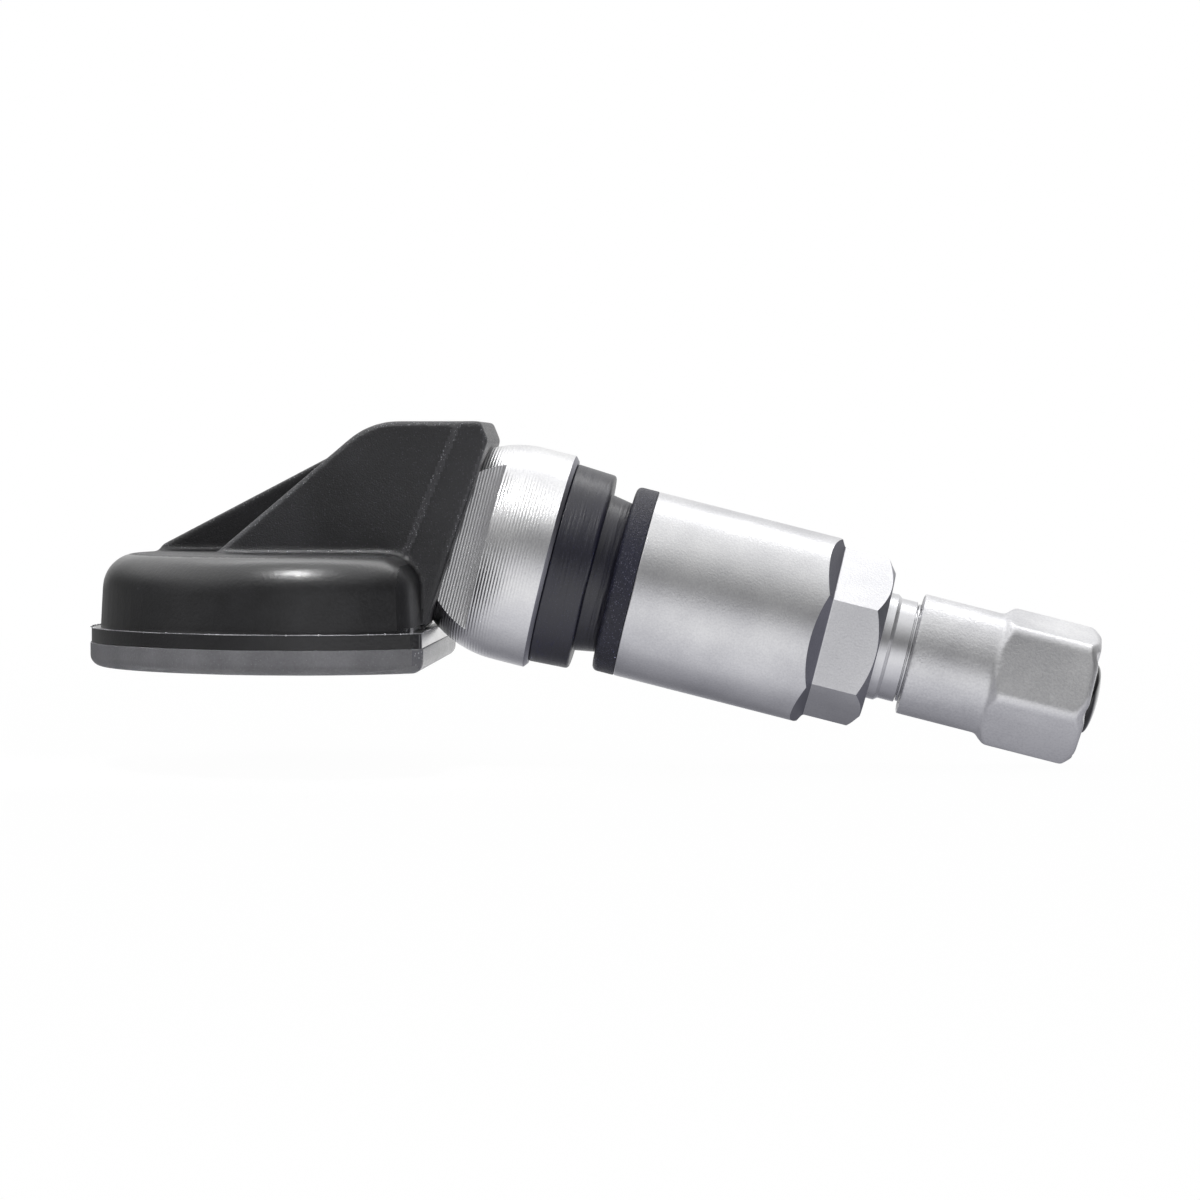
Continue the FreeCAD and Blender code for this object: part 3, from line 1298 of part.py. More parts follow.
def make_coil():
    """Low-frequency antenna coil: ferrite rod with end flanges and a winding."""
    body = new_body("wake_coil")
    side = sketch_on(body, "XZ_Plane", "- coil_y - 0.5*coil_width")
    left, right = "coil_x - 0.5*coil_length", "coil_x + 0.5*coil_length"
    top = "board_z + coil_width"
    polygon(side, [
        (left, "board_z"),
        (left + " + coil_flange", "board_z"),
        (left + " + coil_flange", "board_z + coil_step"),
        (right + " - coil_flange", "board_z + coil_step"),
        (right + " - coil_flange", "board_z"),
        (right, "board_z"),
        (right, top),
        (right + " - coil_flange", top),
        (right + " - coil_flange", top + " - coil_step"),
        (left + " + coil_flange", top + " - coil_step"),
        (left + " + coil_flange", top),
        (left, top),
    ])
    pad(body, side, "coil_width")
    return body


def make_antenna():
    """Radio antenna: a bent wire arch from the board and back."""
    low, high = number("board_z"), number("board_z + antenna_height")
    first_x, first_y = number("plan_left_x - 0.38*room_r"), number("- 0.74*room_r")
    last_x, last_y = number("plan_left_x - 0.14*room_r"), number("- 0.465*room_r")
    points = [
        Vector(first_x, first_y, low),
        Vector(first_x, first_y, high),
        Vector(last_x, last_y, high),
        Vector(last_x, last_y, low),
    ]
    wire_r = number("antenna_wire")
    section = []
    for step in range(9):
        angle = math.radians(45 * step + 22.5)
        across = Vector(wire_r * math.cos(angle), wire_r * math.sin(angle), 0)
        section.append(points[0] + across)
    path = Part.makePolygon(points)
    arch = path.makePipeShell([Part.makePolygon(section)], True, False, 1)
    feature = doc.addObject("Part::Feature", "radio_antenna")
    feature.Label = "radio_antenna"
    feature.Shape = arch
    return feature


def make_port_seal():
    """Rubber tube from the pressure chip up to the air port."""
    body = new_body("port_seal")
    ring = sketch_on(body, "XY_Plane", "chip_z")
    circle(ring, "port_x", "port_y", "tube_r")
    circle(ring, "port_x", "port_y", "tube_bore_r")
    pad(body, ring, "ceiling_z - chip_z")
    return body


def check_and_write(parts):
    """Stop on any invalid object, then write one STEP file for each piece."""
    doc.recompute()
    for item in doc.Objects:
        if "Invalid" in item.State or "Error" in item.State:
            raise RuntimeError("object not valid: " + item.Name)
    for part in parts:
        shape = part.Shape
        solids = len(shape.Solids)
        if shape.isNull() or not shape.isValid() or solids != 1:
            raise RuntimeError("shape not valid: %s, solids %d" % (part.Label, solids))
        shape.exportStep("parts/" + part.Label + ".step")
        print(part.Label, round(shape.Volume, 2), [round(v, 2) for v in (
            shape.BoundBox.XMin, shape.BoundBox.XMax, shape.BoundBox.YMin,
            shape.BoundBox.YMax, shape.BoundBox.ZMin, shape.BoundBox.ZMax)])


parts = [
    make_stem(),
    make_grommet(),
    make_washer(),
    make_nut(),
    make_cap(),
    make_disc(),
    make_cap_seal(),
    make_core_body(),
    make_core_seal(),
    make_core_pin(),
    make_core_cup(),
    make_core_spring(),
    make_screw(),
    make_saddle(),
    make_cover(),
    make_housing(),
    make_board(),
    make_cell(),
]
parts += make_tabs()
parts += [
    make_block("pressure_chip", "port_x", "port_y", "chip_side", "chip_side", "chip_height"),
    make_block("crystal", "crystal_x", "crystal_y", "crystal_length", "crystal_width",
               "crystal_height"),
    make_coil(),
    make_antenna(),
    make_port_seal(),
]
check_and_write(parts)
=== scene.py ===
import logging
import math
from contextlib import contextmanager
from dataclasses import dataclass
from enum import Enum
from functools import partial
from typing import Callable, Iterator, Sequence

import bmesh
import bpy
from mathutils import Matrix, Vector


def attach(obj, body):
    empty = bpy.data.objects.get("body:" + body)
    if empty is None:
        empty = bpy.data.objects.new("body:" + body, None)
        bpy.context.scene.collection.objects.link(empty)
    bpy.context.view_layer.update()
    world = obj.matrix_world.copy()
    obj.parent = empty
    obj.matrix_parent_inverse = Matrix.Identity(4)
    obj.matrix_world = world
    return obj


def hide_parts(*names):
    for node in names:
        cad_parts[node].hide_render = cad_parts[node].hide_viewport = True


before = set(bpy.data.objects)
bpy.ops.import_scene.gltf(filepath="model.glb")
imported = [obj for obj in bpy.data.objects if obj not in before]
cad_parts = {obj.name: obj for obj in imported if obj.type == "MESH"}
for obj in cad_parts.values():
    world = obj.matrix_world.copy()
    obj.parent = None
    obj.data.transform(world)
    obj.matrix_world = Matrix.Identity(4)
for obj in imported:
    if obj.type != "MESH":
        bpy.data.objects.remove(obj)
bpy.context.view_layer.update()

# Looks of a tyre pressure sensor with an adjustable clamp-in valve.
#
# Sizes are in millimetres. Valve pieces are drawn along their own X axis, with x = 0
# at the grommet's seat, and are then tilted down with the valve. Pieces of the
# sensor's housing are finished copies of the CAD solids.

log = logging.getLogger("tyre_pressure_sensor")

MM = 0.001
STEM_TILT = math.radians(14.25)
VALVE = Matrix.Rotation(STEM_TILT, 4, "Y") @ Matrix.Scale(MM, 4)
SMOOTH_ANGLE = math.radians(26.0)
MERGE = 2e-6                    # metres within which points of a CAD mesh are one
ONE_FACE = math.radians(0.6)    # faces of a CAD mesh that turn less become one
ONE_FLAT = math.radians(0.8)    # the same for faces on the housing's fine grid
SHARP = math.radians(32)        # edges that turn more get broken
FLATS_COUNT = 80                # how much large faces lead the shading, out of 100
LESS_THAN_HALF = 0.49           # share of an edge that one end's rounding may take
WHITE = (1.0, 1.0, 1.0, 1.0)
CLOUDS = (0.55, 1.05)           # what grain and mottle add up to, from thin to thick
GRAIN_SHARE = 0.6               # how much the grain counts beside the mottle
SPECK_EDGE = (0.2, 0.32)        # where a light point starts and ends to fade in its cell
SPECK_CELL = 2.2                # width of that cell, in points
RING_FADE = (math.radians(74), math.radians(108))  # where the ball's rings fade out
RING_REST = 0.08                # what is left of them past that
AXIS_R = 0.02                   # radius of a ring that stands for a point on the axis
NEAR = 0.05                     # how near a face is to the surface that it belongs to

Pair = tuple[float, float]
Corner = tuple[float, float, float]
Four = tuple[float, float, float, float]
Stops = Sequence[Pair]
Piece = bpy.types.Object
Socket = bpy.types.NodeSocket
Outputs = bpy.types.NodeOutputs


def linear(colour: str) -> Four:
    """Turns an sRGB hex colour into linear RGBA.

    Args:
        colour: six hex digits, with or without a leading hash.

    Returns:
        The colour as Blender's sockets take it.
    """
    digits = colour.lstrip("#")
    parts = [int(digits[at:at + 2], 16) / 255 for at in (0, 2, 4)]
    made = [p / 12.92 if p <= 0.04045 else ((p + 0.055) / 1.055) ** 2.4 for p in parts]
    return made[0], made[1], made[2], 1.0


class Nodes:
    """A node tree that is being filled."""

    def __init__(self, tree: bpy.types.NodeTree) -> None:
        """Takes over a tree and empties it.

        Args:
            tree: the tree.
        """
        self.group = tree
        tree.nodes.clear()

    def add(self, kind: str, inputs: dict | None = None,
            **settings: str | bool) -> Outputs:
        """Adds one node with its settings and links.

        Args:
            kind: Blender's name for the node's type.
            inputs: values or output sockets, by the input's name or number.
            settings: attributes of the node.

        Returns:
            The new node's outputs.
        """
        made = self.group.nodes.new(kind)
        for key, value in settings.items():
            setattr(made, key, value)
        for key, value in (inputs or {}).items():
            socket = made.inputs[key]
            if isinstance(value, Socket):
                self.group.links.new(value, socket)
            else:
                socket.default_value = value
        return made.outputs

    def calc(self, operation: str, *values: Socket | float) -> Socket:
        """Adds one step of arithmetic."""
        return self.add("ShaderNodeMath", dict(enumerate(values)),
                        operation=operation)[0]

    def span(self, value: Socket, low: float, high: float, first: float = 0.0,
             last: float = 1.0, **settings: str) -> Socket:
        """Maps a value from low..high to first..last and holds it at both ends."""
        return self.add("ShaderNodeMapRange", {
            "Value": value, "From Min": low, "From Max": high, "To Min": first,
            "To Max": last}, **settings)[0]

    def mix(self, share: Socket, first: Socket | Four, second: Socket | Four) -> Socket:
        """Mixes two colours."""
        return self.add("ShaderNodeMix", {0: share, 6: first, 7: second},
                        data_type="RGBA")[2]

    def axes(self, vector: Socket) -> Outputs:
        """Takes a vector apart into X, Y and Z."""
        return self.add("ShaderNodeSeparateXYZ", {"Vector": vector})

    def noise(self, place: Socket, size_mm: float, detail: float,
              roughness: float = 0.5) -> Socket:
        """Adds a cloudy noise whose clouds are about size_mm wide."""
        return self.add("ShaderNodeTexNoise", {
            "Vector": place, "Scale": 1 / (size_mm * MM), "Detail": detail,
            "Roughness": roughness})["Fac"]

    def bump(self, height: Socket, depth_mm: float,
             below: Socket | None = None) -> Socket:
        """Adds relief.

        Args:
            height: the relief's height, from 0 to 1.
            depth_mm: how deep 1 is.
            below: the relief that it lies on, if any.

        Returns:
            The socket of the normal.
        """
        given = {"Height": height, "Distance": depth_mm * MM, "Strength": 1.0}
        if below:
            given["Normal"] = below
        return self.add("ShaderNodeBump", given)[0]


def new_material(name: str) -> tuple[bpy.types.Material, Nodes]:
    """Makes an empty node material.

    Args:
        name: its name.

    Returns:
        The material and its node tree.
    """
    made = bpy.data.materials.new(name)
    made.use_nodes = True
    return made, Nodes(made.node_tree)


class Marks(Enum):
    """What the tool left on a surface."""

    NONE = "none"
    RINGS = "rings round the valve's axis"
    ARCS = "rings round the ball head, evenly spaced along its dome"
    STREAKS = "fine scratches along the piece"
    FLOW = "uneven rings round the valve's axis, broken along the way"


@dataclass(frozen=True)
class Finish:
    """A surface as its real material and making leave it, with painted shade or
    highlight in the colours of a few finishes, noted where they are defined.

    The grain is drawn a little coarser than life where life's would be finer than a
    pixel of the picture.
    """

    name: str
    colour: str
    shade: str
    roughness: float
    metallic: float = 0.0
    spread: float = 0.04
    grain_mm: float = 0.2
    relief_mm: float = 0.002
    mottle_mm: float = 6.0
    marks: Marks = Marks.NONE
    pitch_mm: float = 0.22
    mark_mm: float = 0.003
    specular: float = 0.5
    ior: float = 1.5
    coat: float = 0.0
    coat_roughness: float = 0.15
    # sparkle: colour of small light points, partly real fibres and wear, partly painted
    # glints
    sparkle: str = ""
    sparkle_mm: float = 0.08
    sparkle_share: float = 0.4
    on_valve: bool = False

    def material(self) -> bpy.types.Material:
        """Gives the finish's material, built on first use."""
        made = bpy.data.materials.get(self.name)
        return made or self.build()

    def build(self) -> bpy.types.Material:
        """Builds the node material.

        Returns:
            The new material.
        """
        made, tree = new_material(self.name)
        place = tree.add("ShaderNodeMapping", {
            "Vector": tree.add("ShaderNodeTexCoord")["Object"],
            "Rotation": (0.0, -STEM_TILT if self.on_valve else 0.0, 0.0)})[0]
        mottle = tree.noise(place, self.mottle_mm, 3.0)
        grain = tree.noise(place, self.grain_mm, 2.0, 0.6)
        blend = tree.calc("MULTIPLY_ADD", grain, GRAIN_SHARE, mottle)
        colour = tree.mix(tree.span(blend, *CLOUDS), linear(self.shade),
                          linear(self.colour))
        if self.sparkle:
            colour = self.sparkled(tree, place, colour)
        rough = tree.span(blend, *CLOUDS, self.roughness - self.spread,
                          self.roughness + self.spread)
        normal = tree.bump(grain, self.relief_mm)
        if self.marks is not Marks.NONE:
            normal = tree.bump(self.tool_marks(tree, place), self.mark_mm, normal)
        shader = tree.add("ShaderNodeBsdfPrincipled", {
            "Base Color": colour, "Roughness": rough, "Normal": normal,
            "Coat Normal": normal, "Metallic": self.metallic, "IOR": self.ior,
            "Specular IOR Level": self.specular, "Coat Weight": self.coat,
            "Coat Roughness": self.coat_roughness})
        tree.add("ShaderNodeOutputMaterial", {"Surface": shader[0]})
        return made

    def sparkled(self, tree: Nodes, place: Socket, colour: Socket) -> Socket:
        """Adds small light points to the colour: worn tips and bare fibres, and painted
        glints of the texture's tips.

        Args:
            tree: the material's node tree.
            place: the point in the piece's own frame.
            colour: the colour between the points.

        Returns:
            The socket of the speckled colour.
        """
        cells = tree.add("ShaderNodeTexVoronoi", {
            "Vector": place, "Scale": 1 / (SPECK_CELL * self.sparkle_mm * MM)})
        near = tree.span(cells["Distance"], *SPECK_EDGE, 1.0, 0.0)
        chosen = tree.calc("GREATER_THAN", tree.axes(cells["Color"])[0],
                           1.0 - self.sparkle_share)
        share = tree.calc("MULTIPLY", near, chosen)
        return tree.mix(share, colour, linear(self.sparkle))

    def tool_marks(self, tree: Nodes, place: Socket) -> Socket:
        """Draws the marks that the tool left, as a height.

        Args:
            tree: the material's node tree.
            place: the point in the piece's own frame.

        Returns:
            The socket that gives the height, from 0 to 1.
        """
        drawn_out = {Marks.STREAKS: (0.04, 1.0, 1.0), Marks.FLOW: (1.0, 0.05, 0.05)}
        if self.marks in drawn_out:
            fine = tree.add("ShaderNodeMapping", {
                "Vector": place, "Scale": drawn_out[self.marks]})[0]
            return tree.noise(fine, self.pitch_mm, 2.0)
        axes = tree.axes(place)
        along, fade = axes["X"], None
        if self.marks is Marks.ARCS:
            side = tree.calc("MULTIPLY", axes["Y"], axes["Y"])
            side = tree.calc("MULTIPLY_ADD", axes["Z"], axes["Z"], side)
            depth = tree.calc("SUBTRACT", ValveStem.ball_x * MM, along)
            turn = tree.calc("ARCTAN2", tree.calc("SQRT", side), depth)
            along = tree.calc("MULTIPLY", turn, ValveStem.ball_r * MM)
            fade = tree.span(turn, *RING_FADE, 1.0, RING_REST,
                             interpolation_type="SMOOTHSTEP")
        phase = tree.calc("MULTIPLY", along, math.tau / (self.pitch_mm * MM))
        wave = tree.calc("SINE", phase)
        if fade:
            wave = tree.calc("MULTIPLY", wave, fade)
        return tree.span(wave, -1.0, 1.0)


metal = partial(Finish, metallic=1.0)
valve_metal = partial(metal, on_valve=True)     # with its grain along the valve's axis

# Bead-blasted and clear anodised aluminium, AlMgSi: a soft sheen with a fine grain.
BLASTED = valve_metal("blasted_aluminium", "#F0F0F1", "#D3D3D6", 0.36, spread=0.02,
                      grain_mm=0.16, relief_mm=0.018)
# The ball head keeps the rings of the turning tool under the blasting.
RINGED = valve_metal("ringed_aluminium", "#FAFAFA", "#DCDCDF", 0.36, grain_mm=0.15,
                     relief_mm=0.012, marks=Marks.ARCS, pitch_mm=0.25, mark_mm=0.022)
# Cheeks milled after blasting: even grey, with the fine straight lines of the cutter.
CHEEK = valve_metal("milled_cheek_aluminium", "#FAFAFA", "#E4E4E6", 0.38, grain_mm=0.12,
                    relief_mm=0.01, marks=Marks.RINGS, pitch_mm=0.23, mark_mm=0.014)
# Spanner flats milled after the barrel was blasted: a fine dull grain.
MILLED = valve_metal("milled_aluminium", "#E8E8EA", "#D0D0D3", 0.42, grain_mm=0.15,
                     relief_mm=0.018)
# Run-outs left by the cutter's corner: torn finely and rougher, and their colour is also
# darkened well below the flats' as painted shade of their slanted faces.
RUN_OUT_PAINTED_SHADE = valve_metal("run_out_aluminium_painted_shade", "#8E8E98", "#787882", 0.5, grain_mm=0.13,
                      relief_mm=0.012)
# Turned chamfers: a grey darker than the blasted barrel, which is painted shade of
# chamfers that lie in shadow.
CHAMFER_PAINTED_SHADE = valve_metal("chamfered_aluminium_painted_shade", "#A6A6AD", "#90909A", 0.42, grain_mm=0.13,
                      relief_mm=0.012)
# Neck, bores and thread ridges straight from the lathe: bright, with fine rings.
TURNED = valve_metal("turned_aluminium", "#EAEAEC", "#DCDCDF", 0.3, relief_mm=0.004,
                     marks=Marks.RINGS)
# The cap is blasted coarser than the nut, which leaves it more matt.
COARSE = valve_metal("coarse_blasted_aluminium", "#F4F4F5", "#D3D3D6", 0.42,
                     spread=0.025, grain_mm=0.19, relief_mm=0.024)
# Moulded EPDM rubber: blue-black, waxy, with uneven rings from the turned mould.
RUBBER = Finish("moulded_epdm_rubber", "#0C0C2C", "#06061C", 0.38, spread=0.08,
                grain_mm=0.14, relief_mm=0.014, marks=Marks.FLOW, pitch_mm=0.36,
                mark_mm=0.09, ior=1.75, sparkle="#2C2C42", sparkle_mm=0.07,
                on_valve=True)
# Nitrile seals: matt black.
SEAL = Finish("nitrile_rubber", "#1C1C1E", "#151517", 0.55, relief_mm=0.004)
# Glass-filled nylon: black with a sparkling fibre grain at its surface.
GLASS_NYLON = Finish("glass_filled_nylon", "#24243C", "#111122", 0.42, grain_mm=0.13,
                     relief_mm=0.1, specular=0.6, sparkle="#5C5C6E", sparkle_mm=0.075,
                     sparkle_share=0.6, on_valve=True)
# PBT in a spark-eroded mould: black, with fine pits. The pits are drawn 0.12 mm wide,
# twice as coarse as life, so that they show.
SPARK_PBT = Finish("spark_textured_pbt", "#28282C", "#131316", 0.44, grain_mm=0.12,
                   relief_mm=0.055, ior=1.6, specular=0.6, sparkle="#3C3C42",
                   sparkle_share=0.35)
# Edges and hollows of that texture: worn bright, with shiny tips; their lighter colour
# and light specks are partly wear and partly painted highlight of the light that the
# edges catch.
WORN_AND_HIGHLIGHT_PBT = Finish("worn_textured_pbt_painted_highlight", "#3C3C40", "#222226", 0.4, grain_mm=0.12,
                  relief_mm=0.06, ior=1.6, specular=0.7, sparkle="#8A8A90",
                  sparkle_mm=0.075, sparkle_share=0.5)
# The same plastic where the mould was stoned smooth: satin under a thin moulding skin.
SATIN_PBT = Finish("satin_pbt", "#161619", "#0E0E10", 0.38, spread=0.06, grain_mm=0.25,
                   relief_mm=0.016, mottle_mm=2.0, specular=0.4, coat=1.0,
                   coat_roughness=0.34)
# Its corners beside the head wall lie deep in the mould and came out duller.
DULL_PBT = Finish("dull_pbt", "#1C1C1F", "#141416", 0.44, spread=0.05, grain_mm=0.25,
                  relief_mm=0.016, mottle_mm=2.0, specular=0.4)
# Flat ends of the mould were polished: they mirror what they face at a low angle.
POLISHED_PBT = Finish("polished_pbt", "#1B1B1F", "#141417", 0.16, grain_mm=0.25,
                      relief_mm=0.006, ior=1.6, coat=0.5, coat_roughness=0.1)
# Grey PBT lid: matt, slightly mottled by the filler.
GREY_PBT = Finish("grey_pbt", "#6F6F72", "#5B5B5E", 0.45, grain_mm=0.18, relief_mm=0.03,
                  mottle_mm=3.0, sparkle="#757578", sparkle_share=0.2)
# The lid's flat ends are smoother than its sides; their light specks are painted glints
# of the light that the ends catch.
GREY_END_PAINTED_GLINTS = Finish("smooth_grey_pbt_painted_glints", "#66666A", "#58585C", 0.22, grain_mm=0.16,
                  relief_mm=0.05, sparkle="#A0A0A6", sparkle_mm=0.1)
# Thin torn plastic at the parting line catches the light: its light grey is painted
# highlight of those glints.
FLASH_PAINTED_GLINT = Finish("torn_mould_flash_painted_glint", "#DADADE", "#44444A", 0.32, relief_mm=0.004)
# FR4 laminate under green solder mask: smooth and slightly glossy.
LAMINATE = Finish("solder_masked_fr4", "#1F7A45", "#17613A", 0.3, grain_mm=0.6,
                  relief_mm=0.004)
# Drawn stainless can of the coin cell, brushed along.
CELL_STEEL = metal("drawn_stainless_steel", "#CFCFD0", "#BFBFC1", 0.28, grain_mm=0.4,
                   marks=Marks.STREAKS, pitch_mm=0.15)
# Punched nickel strip: warm grey, bright.
NICKEL = metal("nickel_strip", "#CFC9BE", "#BDB7AB", 0.26, grain_mm=0.3)
# Epoxy moulding compound: dead black and dusty.
EPOXY = Finish("epoxy_moulding_compound", "#2B2B2C", "#222223", 0.6, grain_mm=0.12,
               relief_mm=0.008)
# Enamelled copper wire: warm and shiny under its lacquer.
COPPER = metal("enamelled_copper", "#B0562A", "#96451E", 0.22, coat=0.6)
# Tinned bronze spring wire of the antenna.
BRONZE = metal("phosphor_bronze", "#C9A36B", "#B48D55", 0.25, grain_mm=0.3)
# Zinc plated screw steel: cool bright grey.
ZINC = metal("zinc_plated_steel", "#C6C8CB", "#ABADB1", 0.32, grain_mm=0.18,
             relief_mm=0.006)
# Turned brass of the valve core.
BRASS = valve_metal("turned_brass", "#D9B563", "#C49C48", 0.24)
# Drawn stainless spring wire.
WIRE = metal("stainless_spring_wire", "#C4C4C6", "#B0B0B3", 0.25, grain_mm=0.3)
# Poured resin of the cap's end: black with a wet gloss.
RESIN = Finish("poured_black_resin", "#16161A", "#0F0F12", 0.16, grain_mm=0.8, coat=0.5,
               on_valve=True)


def eased(corners: Sequence[Corner], steps: int = 4) -> list[Pair]:
    """Rounds the corners of a closed outline.

    Args:
        corners: (x, r, rounding radius) of each corner in order.
        steps: pieces that each rounding is drawn with.

    Returns:
        The outline's points.
    """
    points: list[Pair] = []
    for at, (x, r, ease) in enumerate(corners):
        here = Vector((x, r))
        before = Vector(corners[at - 1][:2]) - here
        after = Vector(corners[(at + 1) % len(corners)][:2]) - here
        if ease <= 0:
            points.append((x, r))
            continue
        a, b = before.normalized(), after.normalized()
        half = a.angle(b) / 2
        room = LESS_THAN_HALF * min(before.length, after.length)
        cut = min(ease / math.tan(half), room)
        middle = here + (a + b).normalized() * cut / math.cos(half)
        first, last = here + a * cut - middle, here + b * cut - middle
        turn = first.angle_signed(last)
        for step in range(steps + 1):
            spot = first.copy()
            spot.rotate(Matrix.Rotation(-turn * step / steps, 2))
            points.append(tuple(middle + spot))
    return points


def skin(name: str, rings: Sequence[Sequence[Vector]], closed: bool) -> Piece:
    """Joins rings of equal point counts into one closed surface.

    Args:
        name: the new object's name.
        rings: the rings in order.
        closed: True if the last ring joins the first, else both ends get a face.

    Returns:
        The new object, in millimetres.
    """
    made = bmesh.new()
    loops = [[made.verts.new(p) for p in ring] for ring in rings]
    pairs = list(zip(loops, loops[1:]))
    if closed:
        pairs.append((loops[-1], loops[0]))
    else:
        made.faces.new(loops[0])
        made.faces.new(loops[-1])
    for one, other in pairs:
        for at in range(len(one)):
            after = (at + 1) % len(one)
            made.faces.new((one[at], one[after], other[after], other[at]))
    bmesh.ops.recalc_face_normals(made, faces=made.faces)
    return to_object(made, name)


def to_object(made: bmesh.types.BMesh, name: str) -> Piece:
    """Puts a finished bmesh into a new object of the scene.

    Args:
        made: the mesh, which is freed.
        name: the object's name.

    Returns:
        The new object.
    """
    mesh = bpy.data.meshes.new(name)
    made.to_mesh(mesh)
    made.free()
    piece = bpy.data.objects.new(name, mesh)
    bpy.context.scene.collection.objects.link(piece)
    return piece


@contextmanager
def edited(piece: Piece) -> Iterator[bmesh.types.BMesh]:
    """Opens a piece's mesh for a change and puts it back.

    Args:
        piece: the object.

    Yields:
        Its mesh.
    """
    made = bmesh.new()
    made.from_mesh(piece.data)
    yield made
    made.to_mesh(piece.data)
    made.free()


def merged(node: str) -> bmesh.types.BMesh:
    """Reads a CAD node's mesh and merges the points that its faces share.

    Args:
        node: the node's name.

    Returns:
        The mesh, in metres.
    """
    made = bmesh.new()
    made.from_mesh(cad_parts[node].data)
    bmesh.ops.remove_doubles(made, verts=made.verts, dist=MERGE)
    return made


def lathe(name: str, corners: Sequence[Corner], steps: int = 120) -> Piece:
    """Turns a closed outline round the X axis.

    Args:
        name: the new object's name.
        corners: (x, r, rounding radius) of the outline's corners, all off the axis.
        steps: facets round the axis.

    Returns:
        The turned piece, in millimetres.
    """
    angles = [math.tau * at / steps for at in range(steps)]
    rings = [[Vector((x, r * math.cos(a), r * math.sin(a))) for a in angles]
             for x, r in eased(corners)]
    return skin(name, rings, closed=True)


def settled(piece: Piece) -> Piece:
    """Applies a piece's modifiers to its mesh.

    Args:
        piece: the object with modifiers.

    Returns:
        The same object with a plain mesh.
    """
    graph = bpy.context.evaluated_depsgraph_get()
    mesh = bpy.data.meshes.new_from_object(piece.evaluated_get(graph))
    piece.modifiers.clear()
    mesh.name = piece.name
    piece.data = mesh
    return piece


def cut(piece: Piece, tool: Piece) -> None:
    """Cuts one solid out of another.

    Args:
        piece: the solid that stays.
        tool: the cutter, which is removed.
    """
    step = piece.modifiers.new("cut", "BOOLEAN")
    step.operation = "DIFFERENCE"
    step.solver = "EXACT"
    step.object = tool
    settled(piece)
    bpy.data.objects.remove(tool)


def redrawn(piece: Piece, grid: float, passes: int,
            free: Callable[[Vector], bool] | None = None) -> Piece:
    """Draws a piece anew on a fine grid and eases its points, which rounds all edges.

    Args:
        piece: the object.
        grid: the grid's spacing, in the mesh's own unit.
        passes: how often the points are eased.
        free: tells which points may move; all if not given.

    Returns:
        The same object.
    """
    step = piece.modifiers.new("grid", "REMESH")
    step.mode = "VOXEL"
    step.voxel_size = grid
    settled(piece)
    worn = piece.vertex_groups.new(name="worn")
    points = [v.index for v in piece.data.vertices if free is None or free(v.co)]
    worn.add(points, 1.0, "REPLACE")
    step = piece.modifiers.new("ease", "SMOOTH")
    step.factor = 0.5
    step.iterations = passes
    step.vertex_group = worn.name
    settled(piece)
    piece.vertex_groups.clear()
    return piece


def prism(name: str, corners: Sequence[Pair], half: float,
          turn: float = 0.0) -> Piece:
    """Makes a straight prism across the valve for use as a cutter.

    Args:
        name: the new object's name.
        corners: (x, height) of its outline.
        half: half its width.
        turn: its turn about the X axis, in radians.

    Returns:
        The prism, in millimetres.
    """
    spin = Matrix.Rotation(turn, 3, "X")
    rings = [[spin @ Vector((x, y, z)) for x, z in corners] for y in (-half, half)]
    return skin(name, rings, closed=False)


def dress(piece: Piece, finishes: Sequence[Finish],
          pick: Callable[[Vector, Vector], int] | None = None) -> None:
    """Gives a piece its materials.

    Args:
        piece: the object.
        finishes: its finishes in order.
        pick: gives the finish's number for a face's centre and normal.
    """
    piece.data.materials.clear()
    for finish in finishes:
        piece.data.materials.append(finish.material())
    for face in piece.data.polygons:
        face.material_index = pick(face.center, face.normal) if pick else 0


def smooth(piece: Piece, angle: float = SMOOTH_ANGLE) -> None:
    """Shades a piece smooth up to an angle, weighted so that flats stay flat.

    Args:
        piece: the object.
        angle: edges that turn more than this stay sharp.
    """
    piece.data.shade_smooth()
    piece.data.set_sharp_from_angle(angle=angle)
    weigh = piece.modifiers.new("weigh", "WEIGHTED_NORMAL")
    weigh.keep_sharp = True
    weigh.weight = FLATS_COUNT
    settled(piece)


def hand_over(piece: Piece, body: str,
              nodes: Sequence[str] = (), on_valve: bool = True) -> None:
    """Puts a finished piece in its place and hands it to the frame.

    Args:
        piece: the object, its mesh still in the valve's frame if on_valve.
        body: the body that it rides on.
        nodes: CAD nodes that it stands for.
        on_valve: True if it still has to be tilted and scaled.
    """
    if on_valve:
        piece.data.transform(VALVE)
    smooth(piece)
    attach(piece, body)
    if nodes:
        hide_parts(*nodes)
    log.info("%s: %d faces on %s", piece.name, len(piece.data.polygons), body)


